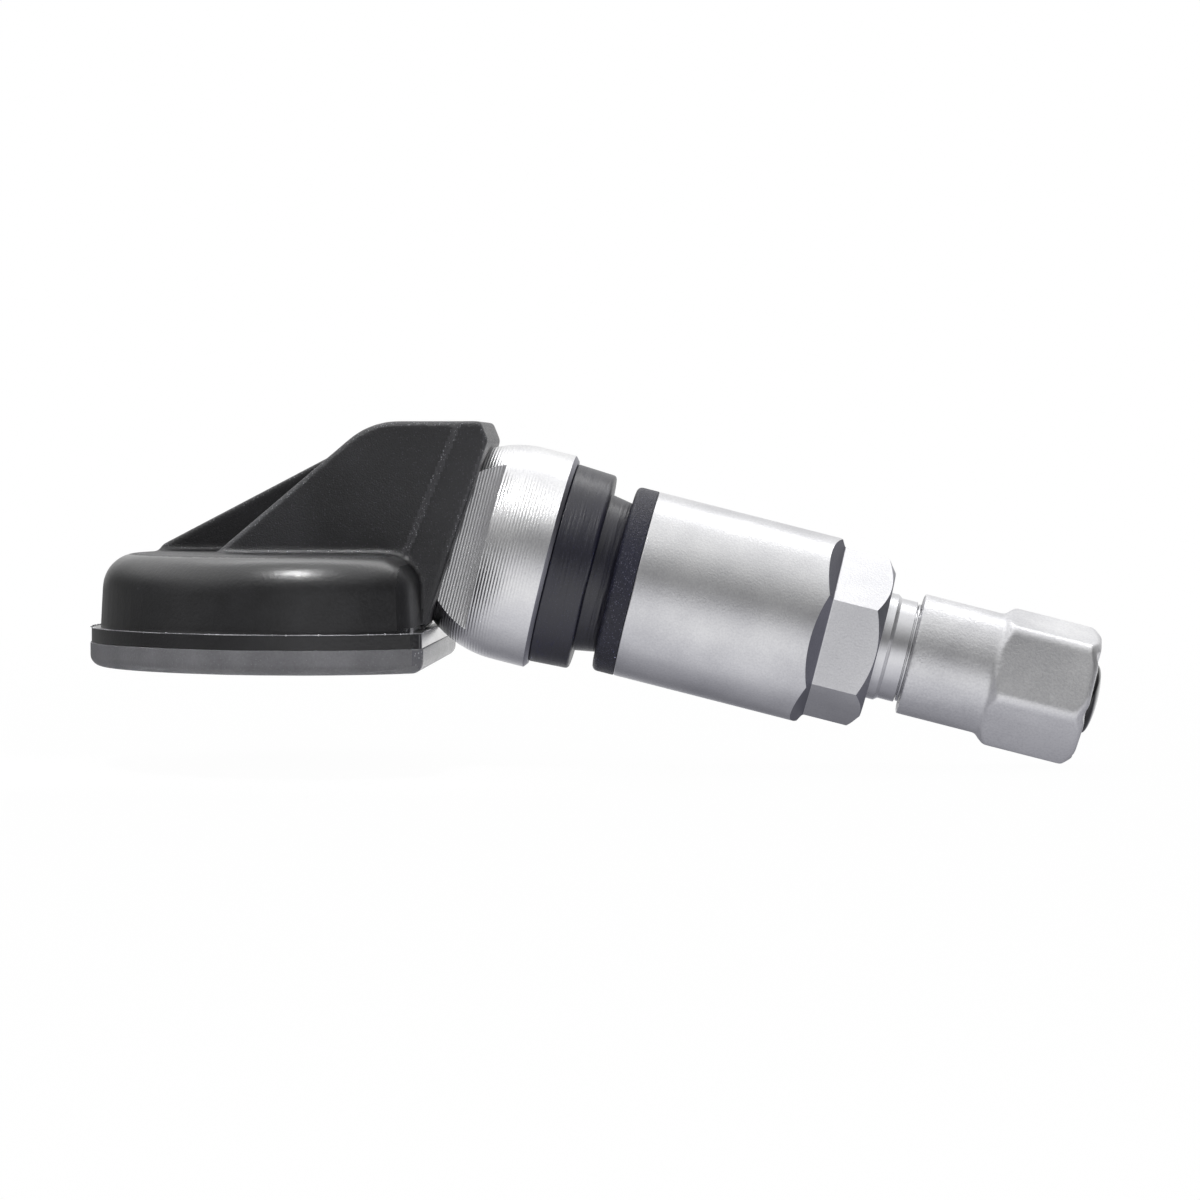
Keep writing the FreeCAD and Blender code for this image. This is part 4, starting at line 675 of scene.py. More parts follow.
class Tree(Nodes):
    """A Geometry Nodes tree with named inputs, the last of them its material."""

    def __init__(self, name: str, inputs: dict[str, str]) -> None:
        """Makes a tree without steps.

        Args:
            name: the tree's name.
            inputs: kind of each input's socket, by the input's name.
        """
        super().__init__(bpy.data.node_groups.new(name, "GeometryNodeTree"))
        sockets = self.group.interface
        sockets.new_socket("Geometry", in_out="OUTPUT", socket_type="NodeSocketGeometry")
        taken = {"Geometry": "Geometry", **inputs, "Material": "Material"}
        for label, kind in taken.items():
            sockets.new_socket(label, in_out="INPUT", socket_type="NodeSocket" + kind)
        self.inputs = self.add("NodeGroupInput")

    def join(self, *parts: Socket) -> Socket:
        """Joins geometries into one.

        Args:
            parts: what is joined, in order.

        Returns:
            The socket of the whole.
        """
        made = self.group.nodes.new("GeometryNodeJoinGeometry")
        for part in parts:
            self.group.links.new(part, made.inputs[0])
        return made.outputs[0]

    def end(self, geometry: Socket) -> None:
        """Ends the tree in real geometry with its material.

        Args:
            geometry: what the tree has made.
        """
        real = self.add("GeometryNodeRealizeInstances", {"Geometry": geometry})
        done = self.add("GeometryNodeSetMaterial", {
            "Geometry": real[0], "Material": self.inputs["Material"]})
        self.add("NodeGroupOutput", {"Geometry": done[0]})

    def run(self, piece: Piece, finish: Finish, values: dict) -> Piece:
        """Runs the tree on an object and keeps the result as its plain mesh.

        Args:
            piece: the object.
            finish: what the result is made of.
            values: value of each other input, by name.

        Returns:
            The same object.
        """
        given = {**values, "Material": finish.material()}
        step = piece.modifiers.new(self.group.name, "NODES")
        step.node_group = self.group
        for item in self.group.interface.items_tree:
            if item.in_out == "INPUT" and item.name in given:
                step[item.identifier] = given[item.name]
        return settled(piece)


def thread_tree() -> Tree:
    """Makes the tree that winds a thread's ridge round the X axis.

    Returns:
        The tree.
    """
    tree = Tree("thread_ridge", {"Start": "Float", "Length": "Float", "Pitch": "Float",
                                 "Root Radius": "Float", "Ridge": "Float"})
    given = tree.inputs
    turns = tree.calc("DIVIDE", given["Length"], given["Pitch"])
    helix = tree.add("GeometryNodeCurveSpiral", {
        "Resolution": 40, "Rotations": turns, "Start Radius": given["Root Radius"],
        "End Radius": given["Root Radius"], "Height": given["Length"]})
    profile = tree.add("GeometryNodeCurvePrimitiveCircle", {
        "Resolution": 8, "Radius": given["Ridge"]})
    ridge = tree.add("GeometryNodeCurveToMesh", {
        "Curve": helix[0], "Profile Curve": profile[0], "Fill Caps": True})
    start = tree.add("ShaderNodeCombineXYZ", {"X": given["Start"]})
    tree.end(tree.add("GeometryNodeTransform", {
        "Geometry": ridge[0], "Translation": start[0],
        "Rotation": (0.0, math.radians(90), 0.0)})[0])
    return tree


def flash_tree() -> Tree:
    """Makes the tree that lays torn flash along a mould's parting line.

    Returns:
        The tree.
    """
    tree = Tree("mould_flash", {"Bead": "Float", "Waver": "Float", "Specks": "Int",
                                "Speck Size": "Float", "Seed": "Int"})
    given = tree.inputs
    line = tree.add("GeometryNodeMeshToCurve", {"Mesh": given["Geometry"]})
    even = tree.add("GeometryNodeResampleCurve", {"Curve": line[0], "Count": 360})
    # Waves of about a millimetre, and specks from half to two and a half sizes long.
    noise = tree.add("ShaderNodeTexNoise", {"Scale": 900.0, "Detail": 2.0})
    lift = tree.add("ShaderNodeCombineXYZ", {
        "Z": tree.calc("MULTIPLY", noise[0], given["Waver"])})
    waved = tree.add("GeometryNodeSetPosition", {"Geometry": even[0], "Offset": lift[0]})
    profile = tree.add("GeometryNodeCurvePrimitiveCircle", {
        "Resolution": 5, "Radius": given["Bead"]})
    bead = tree.add("GeometryNodeCurveToMesh", {
        "Curve": waved[0], "Profile Curve": profile[0]})
    points = tree.add("GeometryNodeCurveToPoints", {
        "Curve": waved[0], "Count": given["Specks"]})
    shape = tree.add("GeometryNodeMeshIcoSphere", {
        "Radius": given["Speck Size"], "Subdivisions": 1})
    size = tree.add("FunctionNodeRandomValue", {
        0: (0.5, 0.5, 0.4), 1: (2.6, 1.2, 1.4), "Seed": given["Seed"]},
        data_type="FLOAT_VECTOR")
    keep = tree.add("FunctionNodeRandomValue", {
        "Probability": 0.35, "Seed": given["Seed"]}, data_type="BOOLEAN")
    specks = tree.add("GeometryNodeInstanceOnPoints", {
        "Points": points[0], "Instance": shape[0], "Scale": size[0],
        "Selection": keep[3]})
    tree.end(tree.join(bead[0], specks[0]))
    return tree


@dataclass
class ValveStem:
    """The turned stem: grooved ball head with two cheeks, shank, neck and cap thread."""

    ball_x: float = -6.14
    ball_r: float = 8.73
    screw_hole_r: float = 2.0
    screw_hole_end: float = -8.2
    cheek: float = 5.0
    cheek_end: float = -8.54
    head_face: float = -3.25
    chamfer: float = 0.3
    chamfer_drop: float = 0.36
    shank_r: float = 4.34
    shank_root: float = 4.1
    shank_end: float = 24.26
    shank_pitch: float = 0.8
    waist: Pair = (4.4, 23.6)
    waist_slope: float = 0.3
    nut_thread: Pair = (5.2, 17.6)
    neck_x: float = 24.56
    neck_r: float = 4.11
    neck_end: float = 25.86
    lip_r: float = 3.98
    lip_end: float = 26.16
    tip_r: float = 3.85
    tip_root: float = 3.58
    tip_end: float = 37.86
    tip_pitch: float = 0.794
    tip_chamfer: Pair = (0.35, 0.25)
    thread_gap: Pair = (0.5, 0.6)
    air_r: float = 1.3
    air_end: float = 17.5
    barrel_r: float = 1.95
    core_r: float = 2.72
    core_seat: Pair = (29.6, 30.6)
    dome_steps: int = 40
    steps: int = 144
    facing_tip: float = 0.3
    facing_side: float = 0.99

    def outline(self) -> list[Corner]:
        """Gives the closed outline of the turned stem with its bores.

        Returns:
            (x, r, rounding) of each corner.
        """
        reach = math.asin(self.screw_hole_r / self.ball_r)
        dome = []
        for step in range(self.dome_steps + 1):
            angle = math.pi - reach - (math.pi / 2 - reach) * step / self.dome_steps
            dome.append((self.ball_x + self.ball_r * math.cos(angle),
                         self.ball_r * math.sin(angle), 0.0))
        groove = self.neck_end + 0.1
        waist_from, waist_to = self.waist
        tip_back, tip_in = self.tip_chamfer
        return dome + [
            (self.head_face - self.chamfer, self.ball_r, 0.04),
            (self.head_face, self.ball_r - self.chamfer_drop, 0.05),
            (self.head_face, self.shank_r, 0.0),
            (waist_from, self.shank_r, 0.0),
            (waist_from + self.waist_slope, self.shank_root, 0.0),
            (waist_to - self.waist_slope, self.shank_root, 0.0),
            (waist_to, self.shank_r, 0.0),
            (self.shank_end, self.shank_r, 0.08),
            (self.neck_x, self.neck_r, 0.08),
            (self.neck_end, self.neck_r, 0.06),
            (self.neck_end, self.tip_root, 0.0),
            (groove, self.tip_root, 0.0),
            (groove, self.lip_r, 0.05),
            (self.lip_end, self.lip_r, 0.05),
            (self.lip_end, self.tip_root, 0.0),
            (self.tip_end - tip_back, self.tip_root, 0.0),
            (self.tip_end, self.tip_root - tip_in, 0.0),
            (self.tip_end, self.core_r, 0.06),
            (self.core_seat[1], self.core_r, 0.0),
            (self.core_seat[0], self.barrel_r, 0.0),
            (self.air_end, self.barrel_r, 0.0),
            (self.air_end, self.air_r, 0.0),
            (self.screw_hole_end, self.air_r, 0.0),
            (self.screw_hole_end, self.screw_hole_r, 0.0),
        ]

    def finish_of(self, centre: Vector, normal: Vector) -> int:
        """Tells the dome, the cheeks, the shank and the head's chamfer apart.

        Args:
            centre: the face's centre.
            normal: its normal.

        Returns:
            The number of its finish.
        """
        if centre.x > self.head_face + NEAR:
            return 2
        chamfer_from = self.head_face - self.chamfer - 0.02
        if normal.x > self.facing_tip and centre.x > chamfer_from:
            return 3
        if abs(normal.y) > self.facing_side and abs(abs(centre.y) - self.cheek) < NEAR:
            return 1
        return 0

    def build(self, threads: Tree) -> None:
        """Builds the stem and its two threads.

        Args:
            threads: the tree that winds a thread.
        """
        stem = lathe("stem_turning", self.outline(), self.steps)
        for side in (-1, 1):
            back = self.ball_x - 2 * self.ball_r
            far = 2 * self.ball_r
            block = [Vector((x, side * y, 0)) for x, y in (
                (back, self.cheek), (self.cheek_end, self.cheek),
                (self.cheek_end, far), (back, far))]
            rings = [[p + Vector((0, 0, z)) for p in block] for z in (-far, far)]
            cut(stem, skin("cheek_cutter", rings, closed=False))
        # The chamfer finish's darker grey is painted shade.
        dress(stem, [RINGED, CHEEK, TURNED, CHAMFER_PAINTED_SHADE], self.finish_of)
        hand_over(stem, "stem", ["valve_stem"])
        before, after = self.thread_gap
        start, stop = self.lip_end + before, self.tip_end - after
        for name, x, length, pitch, root, top in (
                ("cap_thread", start, stop - start, self.tip_pitch, self.tip_root,
                 self.tip_r),
                ("nut_thread", *self.nut_thread, self.shank_pitch, self.shank_root,
                 self.shank_r)):
            thread = threads.run(to_object(bmesh.new(), name), TURNED, {
                "Start": x, "Length": length, "Pitch": pitch, "Root Radius": root,
                "Ridge": top - root})
            hand_over(thread, "stem")


@dataclass
class RimSeals:
    """The rubber grommet and the plastic washer that clamp the wheel rim."""

    flange_r: float = 8.14
    seat_r: float = 7.96
    bore_r: float = 4.38
    neck_r: float = 6.44
    mid_r: float = 6.12
    tip_r: float = 5.65
    back: float = -3.25
    tip: float = 4.2
    washer_x: float = 1.81
    washer_end: float = 3.6
    washer_r: float = 7.585
    washer_bore: float = 6.2

    def build(self) -> None:
        """Builds both rings."""
        grommet = lathe("rim_grommet", [
            (self.back, self.bore_r, 0.0),
            (self.back, self.flange_r, 0.16),
            (0.0, self.seat_r, 0.28),
            (0.0, self.neck_r, 0.12),
            (self.washer_x, self.mid_r, 0.0),
            (self.tip, self.tip_r, 0.1),
            (self.tip, self.bore_r, 0.0),
        ])
        dress(grommet, [RUBBER])
        hand_over(grommet, "stem", ["grommet"])
        washer = lathe("nut_washer", [
            (self.washer_x, self.washer_bore, 0.1),
            (self.washer_x, self.washer_r, 0.45),
            (self.washer_end, self.washer_r, 0.08),
            (self.washer_end, self.washer_bore, 0.0),
        ])
        dress(washer, [GLASS_NYLON])
        hand_over(washer, "washer", ["rim_washer"])


@dataclass
class SleeveNut:
    """The long nut: blasted barrel, six milled flats with slanted run-outs."""

    start: float = 3.6
    end: float = 23.56
    barrel_r: float = 7.575
    end_r: float = 5.9
    chamfer_x: float = 22.26
    flat: float = 6.025
    flat_x: float = 19.12
    runout_x: float = 18.12
    bore_r: float = 4.42
    mouth_r: float = 4.8
    relief_r: float = 5.95
    relief_x: float = 4.7
    plain_to: float = 17.0
    mouth_depth: float = 0.4
    turn: float = 36.0
    steps: int = 144
    facing_end: float = 0.4

    def finish_of(self, centre: Vector, normal: Vector) -> int:
        """Tells flats, their run-outs, the end chamfer and the barrel apart.

        Args:
            centre: the face's centre.
            normal: its normal.

        Returns:
            The number of its finish.
        """
        reach = math.hypot(centre.y, centre.z)
        cut_away = self.end_r - NEAR < reach < self.barrel_r - 0.04
        if centre.x < self.plain_to or not cut_away:
            return 0
        if normal.x < self.facing_end:
            return 1
        return 2 if centre.x < self.flat_x + 0.1 else 3

    def build(self) -> None:
        """Turns the nut and mills its flats."""
        nut = lathe("nut_turning", [
            (self.start, self.relief_r, 0.0),
            (self.start, self.barrel_r, 0.14),
            (self.chamfer_x, self.barrel_r, 0.12),
            (self.end, self.end_r, 0.1),
            (self.end, self.mouth_r, 0.06),
            (self.end - self.mouth_depth, self.bore_r, 0.0),
            (self.relief_x, self.bore_r, 0.0),
            (self.relief_x, self.relief_r, 0.0),
        ], self.steps)
        top = 2 * self.barrel_r - self.flat
        mill = eased([
            (self.flat_x, self.flat, 0.3),
            (self.end + 1, self.flat, 0.0),
            (self.end + 1, top, 0.0),
            (2 * self.runout_x - self.flat_x, top, 0.0),
        ])
        for side in range(6):
            turn = math.radians(self.turn + 60 * side)
            cut(nut, prism("mill", mill, self.barrel_r, turn))
        # The run-out and chamfer finishes carry painted shade in their darker colours.
        dress(nut, [BLASTED, MILLED, RUN_OUT_PAINTED_SHADE, CHAMFER_PAINTED_SHADE], self.finish_of)
        hand_over(nut, "nut", ["sleeve_nut"])


@dataclass
class ValveCap:
    """The cap: rounded hexagon on a plain skirt, with a dark disc let into its end."""

    start: float = 26.23
    skirt_r: float = 4.92
    hex_x: float = 32.86
    end: float = 41.01
    sharp_corner: float = 5.92
    corner_round: float = 1.05
    front_round: float = 0.45
    end_round: float = 0.55
    front_cone: float = 4.98
    end_cone: float = 4.9
    cone_slope: float = 1.0
    face_x: float = 40.83
    grid: float = 0.14
    ease_passes: int = 6
    turn: float = 14.7
    corner_steps: int = 8
    flat_steps: int = 8
    round_steps: int = 6
    bore_r: float = 3.92
    bore_end: float = 39.05
    mouth_r: float = 4.25
    mouth_end: float = 28.2
    mouth_slope: float = 0.3
    skirt_round: float = 0.12
    shoulder: float = 0.08
    recess_r: float = 2.83
    recess_x: float = 40.3
    recess_round: float = 0.12
    disc_r: float = 2.8
    disc_tip: float = 41.66
    disc_steps: int = 12

    def hexagon(self, inset: float) -> list[Pair]:
        """Gives the rounded hexagon's outline.

        Args:
            inset: how far it is drawn in.

        Returns:
            (y, z) of its points, dense at the corners.
        """
        apothem = self.sharp_corner * math.cos(math.pi / 6) - inset
        ease = self.corner_round - inset
        reach = (apothem - ease) / math.cos(math.pi / 6)
        bends = [math.radians(60 * step / self.corner_steps - 30)
                 for step in range(self.corner_steps + 1)]
        arcs = []
        for side in range(6):
            at = math.radians(60 * side + self.turn)
            arcs.append([(reach * math.cos(at) + ease * math.cos(at + bend),
                          reach * math.sin(at) + ease * math.sin(at + bend))
                         for bend in bends])
        points: list[Pair] = []
        for arc, after in zip(arcs, arcs[1:] + arcs[:1]):
            points += arc
            for step in range(1, self.flat_steps):
                share = step / self.flat_steps
                points.append((arc[-1][0] + (after[0][0] - arc[-1][0]) * share,
                               arc[-1][1] + (after[0][1] - arc[-1][1]) * share))
        return points

    def drawn_in(self, y: float, z: float, cone: float) -> float:
        """Gives how far an end's chamfer, from radius cone on, draws a point in."""
        return max(0.0, math.hypot(y, z) - cone) * self.cone_slope

    def ring(self, x: float, radius: float) -> list[Vector]:
        """Gives a round ring whose points match the hexagon's."""
        points = [Vector(p).normalized() * radius for p in self.hexagon(0.0)]
        return [Vector((x, p.x, p.y)) for p in points]

    def build(self) -> None:
        """Builds the cap, then its disc."""
        rings = [self.ring(x, r) for x, r in (
            (self.bore_end, AXIS_R), (self.bore_end, self.bore_r),
            (self.mouth_end, self.bore_r),
            (self.mouth_end - self.mouth_slope, self.mouth_r),
            (self.start, self.mouth_r),
            (self.start, self.skirt_r - self.skirt_round),
            (self.start + 0.035, self.skirt_r - 0.035),
            (self.start + self.skirt_round, self.skirt_r),
            (self.hex_x - self.shoulder, self.skirt_r),
            (self.hex_x, self.skirt_r + 0.06))]
        bends = [math.radians(90 * step / self.round_steps)
                 for step in range(self.round_steps + 1)]
        for bend in bends:
            inset = self.front_round * (1 - math.sin(bend))
            x = self.hex_x + self.front_round * (1 - math.cos(bend))
            ring = []
            for y, z in self.hexagon(inset):
                first = self.hex_x + self.drawn_in(y, z, self.front_cone)
                out = max(1.0, (self.skirt_r + self.shoulder) / math.hypot(y, z))
                ring.append(Vector((max(x, first), y * out, z * out)))
            rings.append(ring)
        for bend in reversed(bends):
            inset = self.end_round * (1 - math.sin(bend))
            x = self.face_x - self.end_round * (1 - math.cos(bend))
            rings.append([
                Vector((min(x, self.face_x - self.drawn_in(y, z, self.end_cone)), y, z))
                for y, z in self.hexagon(inset)])
        rings += [self.ring(x, r) for x, r in (
            (self.face_x, self.recess_r + self.recess_round),
            (self.face_x - 0.04, self.recess_r + 0.03),
            (self.face_x - self.recess_round, self.recess_r),
            (self.recess_x, self.recess_r), (self.recess_x, AXIS_R))]
        cap = redrawn(skin("cap_turning", rings, closed=False), self.grid,
                      self.ease_passes)
        dress(cap, [COARSE])
        hand_over(cap, "cap", ["valve_cap"])
        self.build_disc()

    def build_disc(self) -> None:
        """Builds the domed disc of poured resin, left bare."""
        rise = self.disc_tip - self.end
        rings = [self.ring(self.recess_x, AXIS_R), self.ring(self.recess_x, self.disc_r)]
        for step in range(self.disc_steps):
            bend = step / self.disc_steps * math.pi / 2
            rings.append(self.ring(self.end + rise * math.sin(bend),
                                   self.disc_r * math.cos(bend)))
        rings.append(self.ring(self.disc_tip, AXIS_R))
        disc = skin("cap_end_disc", rings, closed=False)
        dress(disc, [RESIN])
        hand_over(disc, "cap", ["cap_disc"])


@dataclass
class SensorHousing:
    """The moulded housing with wings and cradle, its lid, its flash and its screw."""

    edge: float = 0.12
    small_edge: float = 0.05
    grid: float = 0.2
    ease_passes: int = 10
    ease_from: float = -3.5
    joint: float = -4.05
    dome_top: float = 1.5
    worn_and_highlight_from: float = 1.8
    rim_top: float = -4.33
    rim_cut: float = 0.06
    rim_smooth: float = 0.4
    wall_half: float = 8.6
    wall_reach: float = 0.9
    heel_top: Pair = (-10.25, 12.08)
    heel_slope: float = 0.404
    facing_end: float = 0.7
    facing_side: float = 0.95
    facing_back: float = -0.8
    lying: float = 0.9
    standing: float = 0.3
    level: float = 0.005
    flash_bead: float = 0.03
    flash_waver: float = 0.08
    specks: int = 340
    speck: float = 0.062
    seed: int = 7

    @property
    def finishes(self) -> list[Finish]:
        """The moulding's finishes, in the order that finish_of counts them."""
        return [SPARK_PBT, SATIN_PBT, POLISHED_PBT, WORN_AND_HIGHLIGHT_PBT, DULL_PBT]

    def copy_of(self, node: str, name: str, width: float) -> Piece:
        """Makes a merged copy of a CAD node with its sharp edges broken.

        Args:
            node: the CAD node.
            name: the new piece's name.
            width: width of the broken edge, 0 for none.

        Returns:
            The copy, in metres.
        """
        made = merged(node)
        bmesh.ops.dissolve_limit(made, angle_limit=ONE_FACE, verts=made.verts,
                                 edges=made.edges)
        piece = to_object(made, name)
        if width > 0:
            step = piece.modifiers.new("edges", "BEVEL")
            step.width = width * MM
            step.segments = 2
            step.limit_method = "ANGLE"
            step.angle_limit = SHARP
            step.use_clamp_overlap = True
            settled(piece)
        return piece

    def half(self, piece: Piece, height: float, upper: bool) -> Piece:
        """Keeps what lies above or below a level cut and closes the cut.

        Args:
            piece: the object, in metres.
            height: the cut's height in millimetres.
            upper: True to keep what lies above.

        Returns:
            The same object.
        """
        with edited(piece) as made:
            found = bmesh.ops.bisect_plane(
                made, geom=made.verts[:] + made.edges[:] + made.faces[:], dist=1e-7,
                plane_co=(0, 0, height * MM), plane_no=(0, 0, 1), clear_inner=upper,
                clear_outer=not upper)
            edges = [part for part in found["geom_cut"]
                     if isinstance(part, bmesh.types.BMEdge)]
            bmesh.ops.triangle_fill(made, edges=edges, use_beauty=True,
                                    normal=(0, 0, -1 if upper else 1))
        return piece

    def moulded(self, node: str) -> Piece:
        """Gives the upper housing the round edges and hollows of its mould.

        Args:
            node: the CAD node.

        Returns:
            The upper housing with its finishes, in metres.
        """
        piece = self.half(self.copy_of(node, "housing_dome_and_wings", 0.0),
                          self.rim_top + self.rim_cut, upper=True)
        redrawn(piece, self.grid * MM, self.ease_passes,
                lambda point: point.z > self.ease_from * MM)
        dress(piece, self.finishes, self.finish_of)
        step = piece.modifiers.new("flats", "DECIMATE")
        step.decimate_type = "DISSOLVE"
        step.angle_limit = ONE_FLAT
        step.delimit = {"MATERIAL"}
        settled(piece)
        return self.half(piece, self.joint, upper=True)

    def finish_of(self, centre: Vector, normal: Vector) -> int:
        """Tells textured walls, their worn edges with painted highlight, smooth dome and
        flat ends apart.

        Args:
            centre: the face's centre.
            normal: its normal.

        Returns:
            The number of its finish.
        """
        x, z = centre.x / MM, centre.z / MM
        end_on = normal.x > self.facing_end
        if z < self.rim_top + self.rim_smooth:
            return 2 if end_on else 1
        heel = self.heel_top[0] + (z - self.heel_top[1]) * self.heel_slope
        on_wall = x > heel - self.wall_reach and abs(centre.y) < self.wall_half * MM
        if not on_wall and z < self.dome_top:
            return 4 if end_on else 1
        # High faces that don't face sideways get the worn finish, whose lighter colour
        # is partly painted highlight.
        worn_and_highlighted = (z > self.worn_and_highlight_from and abs(normal.y) < self.facing_side
                  and normal.x > self.facing_back)
        return 3 if worn_and_highlighted else 0

    def parting_line(self) -> Piece:
        """Picks the rim's upper outer edge off the CAD housing.

        Returns:
            An object whose mesh is that line alone.
        """
        made = merged("housing")
        height = self.rim_top * MM

        def on_line(edge: bmesh.types.BMEdge) -> bool:
            """Tells if an edge lies between the rim's flat top and its outer side.

            Args:
                edge: the edge.

            Returns:
                True if it does.
            """
            level = all(abs(v.co.z - height) < self.level * MM for v in edge.verts)
            if not level or len(edge.link_faces) != 2:
                return False
            side, top = sorted(edge.link_faces, key=lambda face: face.normal.z)
            return (top.normal.z > self.lying and abs(side.normal.z) < self.standing
                    and side.calc_center_median().z < height)

        spare = [edge for edge in made.edges if not on_line(edge)]
        bmesh.ops.delete(made, geom=spare, context="EDGES_FACES")
        loose = [v for v in made.verts if not v.link_edges]
        bmesh.ops.delete(made, geom=loose, context="VERTS")
        return to_object(made, "mould_flash")

    def build(self, flash: Tree) -> None:
        """Builds the housing, its lid, the flash and the screw in the channel.

        Args:
            flash: the tree that lays flash along a line.
        """
        upper = self.moulded("housing")
        shell = self.half(self.copy_of("housing", "housing_moulding", self.edge),
                          self.joint, upper=False)
        dress(shell, self.finishes, self.finish_of)
        with edited(shell) as made:
            made.from_mesh(upper.data)
        bpy.data.objects.remove(upper)
        hand_over(shell, "housing", ["housing"], on_valve=False)
        lid = self.copy_of("base_cover", "base_moulding", self.edge)
        # Faces towards the valve get the smoother grey with painted glints.
        dress(lid, [GREY_PBT, GREY_END_PAINTED_GLINTS],
              lambda centre, normal: int(normal.x > self.facing_end))
        hand_over(lid, "housing", ["base_cover"], on_valve=False)
        # The flash's light grey is painted highlight.
        line = flash.run(self.parting_line(), FLASH_PAINTED_GLINT, {
            "Bead": self.flash_bead * MM, "Waver": self.flash_waver * MM,
            "Specks": self.specks, "Speck Size": self.speck * MM, "Seed": self.seed})
        hand_over(line, "housing", on_valve=False)
        for node in ("fixing_screw", "saddle_washer"):
            piece = self.copy_of(node, node + "_finished", self.small_edge)
            dress(piece, [ZINC])
            hand_over(piece, "stem", [node], on_valve=False)


class InnerParts:
    """CAD nodes that keep their own meshes: electronics, seals and the valve core."""

    finishes = {
        "circuit_board": LAMINATE, "battery": CELL_STEEL, "cell_tab_lower": NICKEL,
        "cell_tab_upper": NICKEL, "pressure_chip": EPOXY, "crystal": CELL_STEEL,
        "wake_coil": COPPER, "radio_antenna": BRONZE, "port_seal": SEAL,
        "cap_seal": SEAL, "core_body": BRASS, "core_seal": SEAL, "core_pin": BRASS,
        "core_cup": SEAL, "core_spring": WIRE,
    }

    def build(self) -> None:
        """Dresses each node with its finish."""
        for node, finish in self.finishes.items():
            dress(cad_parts[node], [finish])
            log.info("%s: dressed as %s", node, finish.name)


def aimed(name: str, data: bpy.types.ID, place: Corner, aim: Corner) -> Piece:
    """Puts a lamp or the camera in its place and turns it to what it faces.

    Args:
        name: the new object's name.
        data: the lamp's or the camera's data.
        place: where it stands, in metres.
        aim: the point that it faces.

    Returns:
        The new object.
    """
    made = bpy.data.objects.new(name, data)
    made.location = place
    way = Vector(aim) - Vector(place)
    made.rotation_euler = way.to_track_quat("-Z", "Y").to_euler()
    bpy.context.scene.collection.objects.link(made)
    return made


@dataclass(frozen=True)
class Lamp:
    """A rectangular lamp: its width along X and its depth in metres, its power in
    watts and the angle that its light keeps within."""

    name: str
    place: Corner
    aim: Corner
    size: Pair
    power: float
    spread: float

    def hang(self) -> None:
        """Hangs the lamp."""
        data = bpy.data.lights.new(self.name, "AREA")
        data.shape = "RECTANGLE"
        data.size, data.size_y = self.size
        data.energy = self.power
        data.spread = self.spread
        aimed(self.name, data, self.place, self.aim)


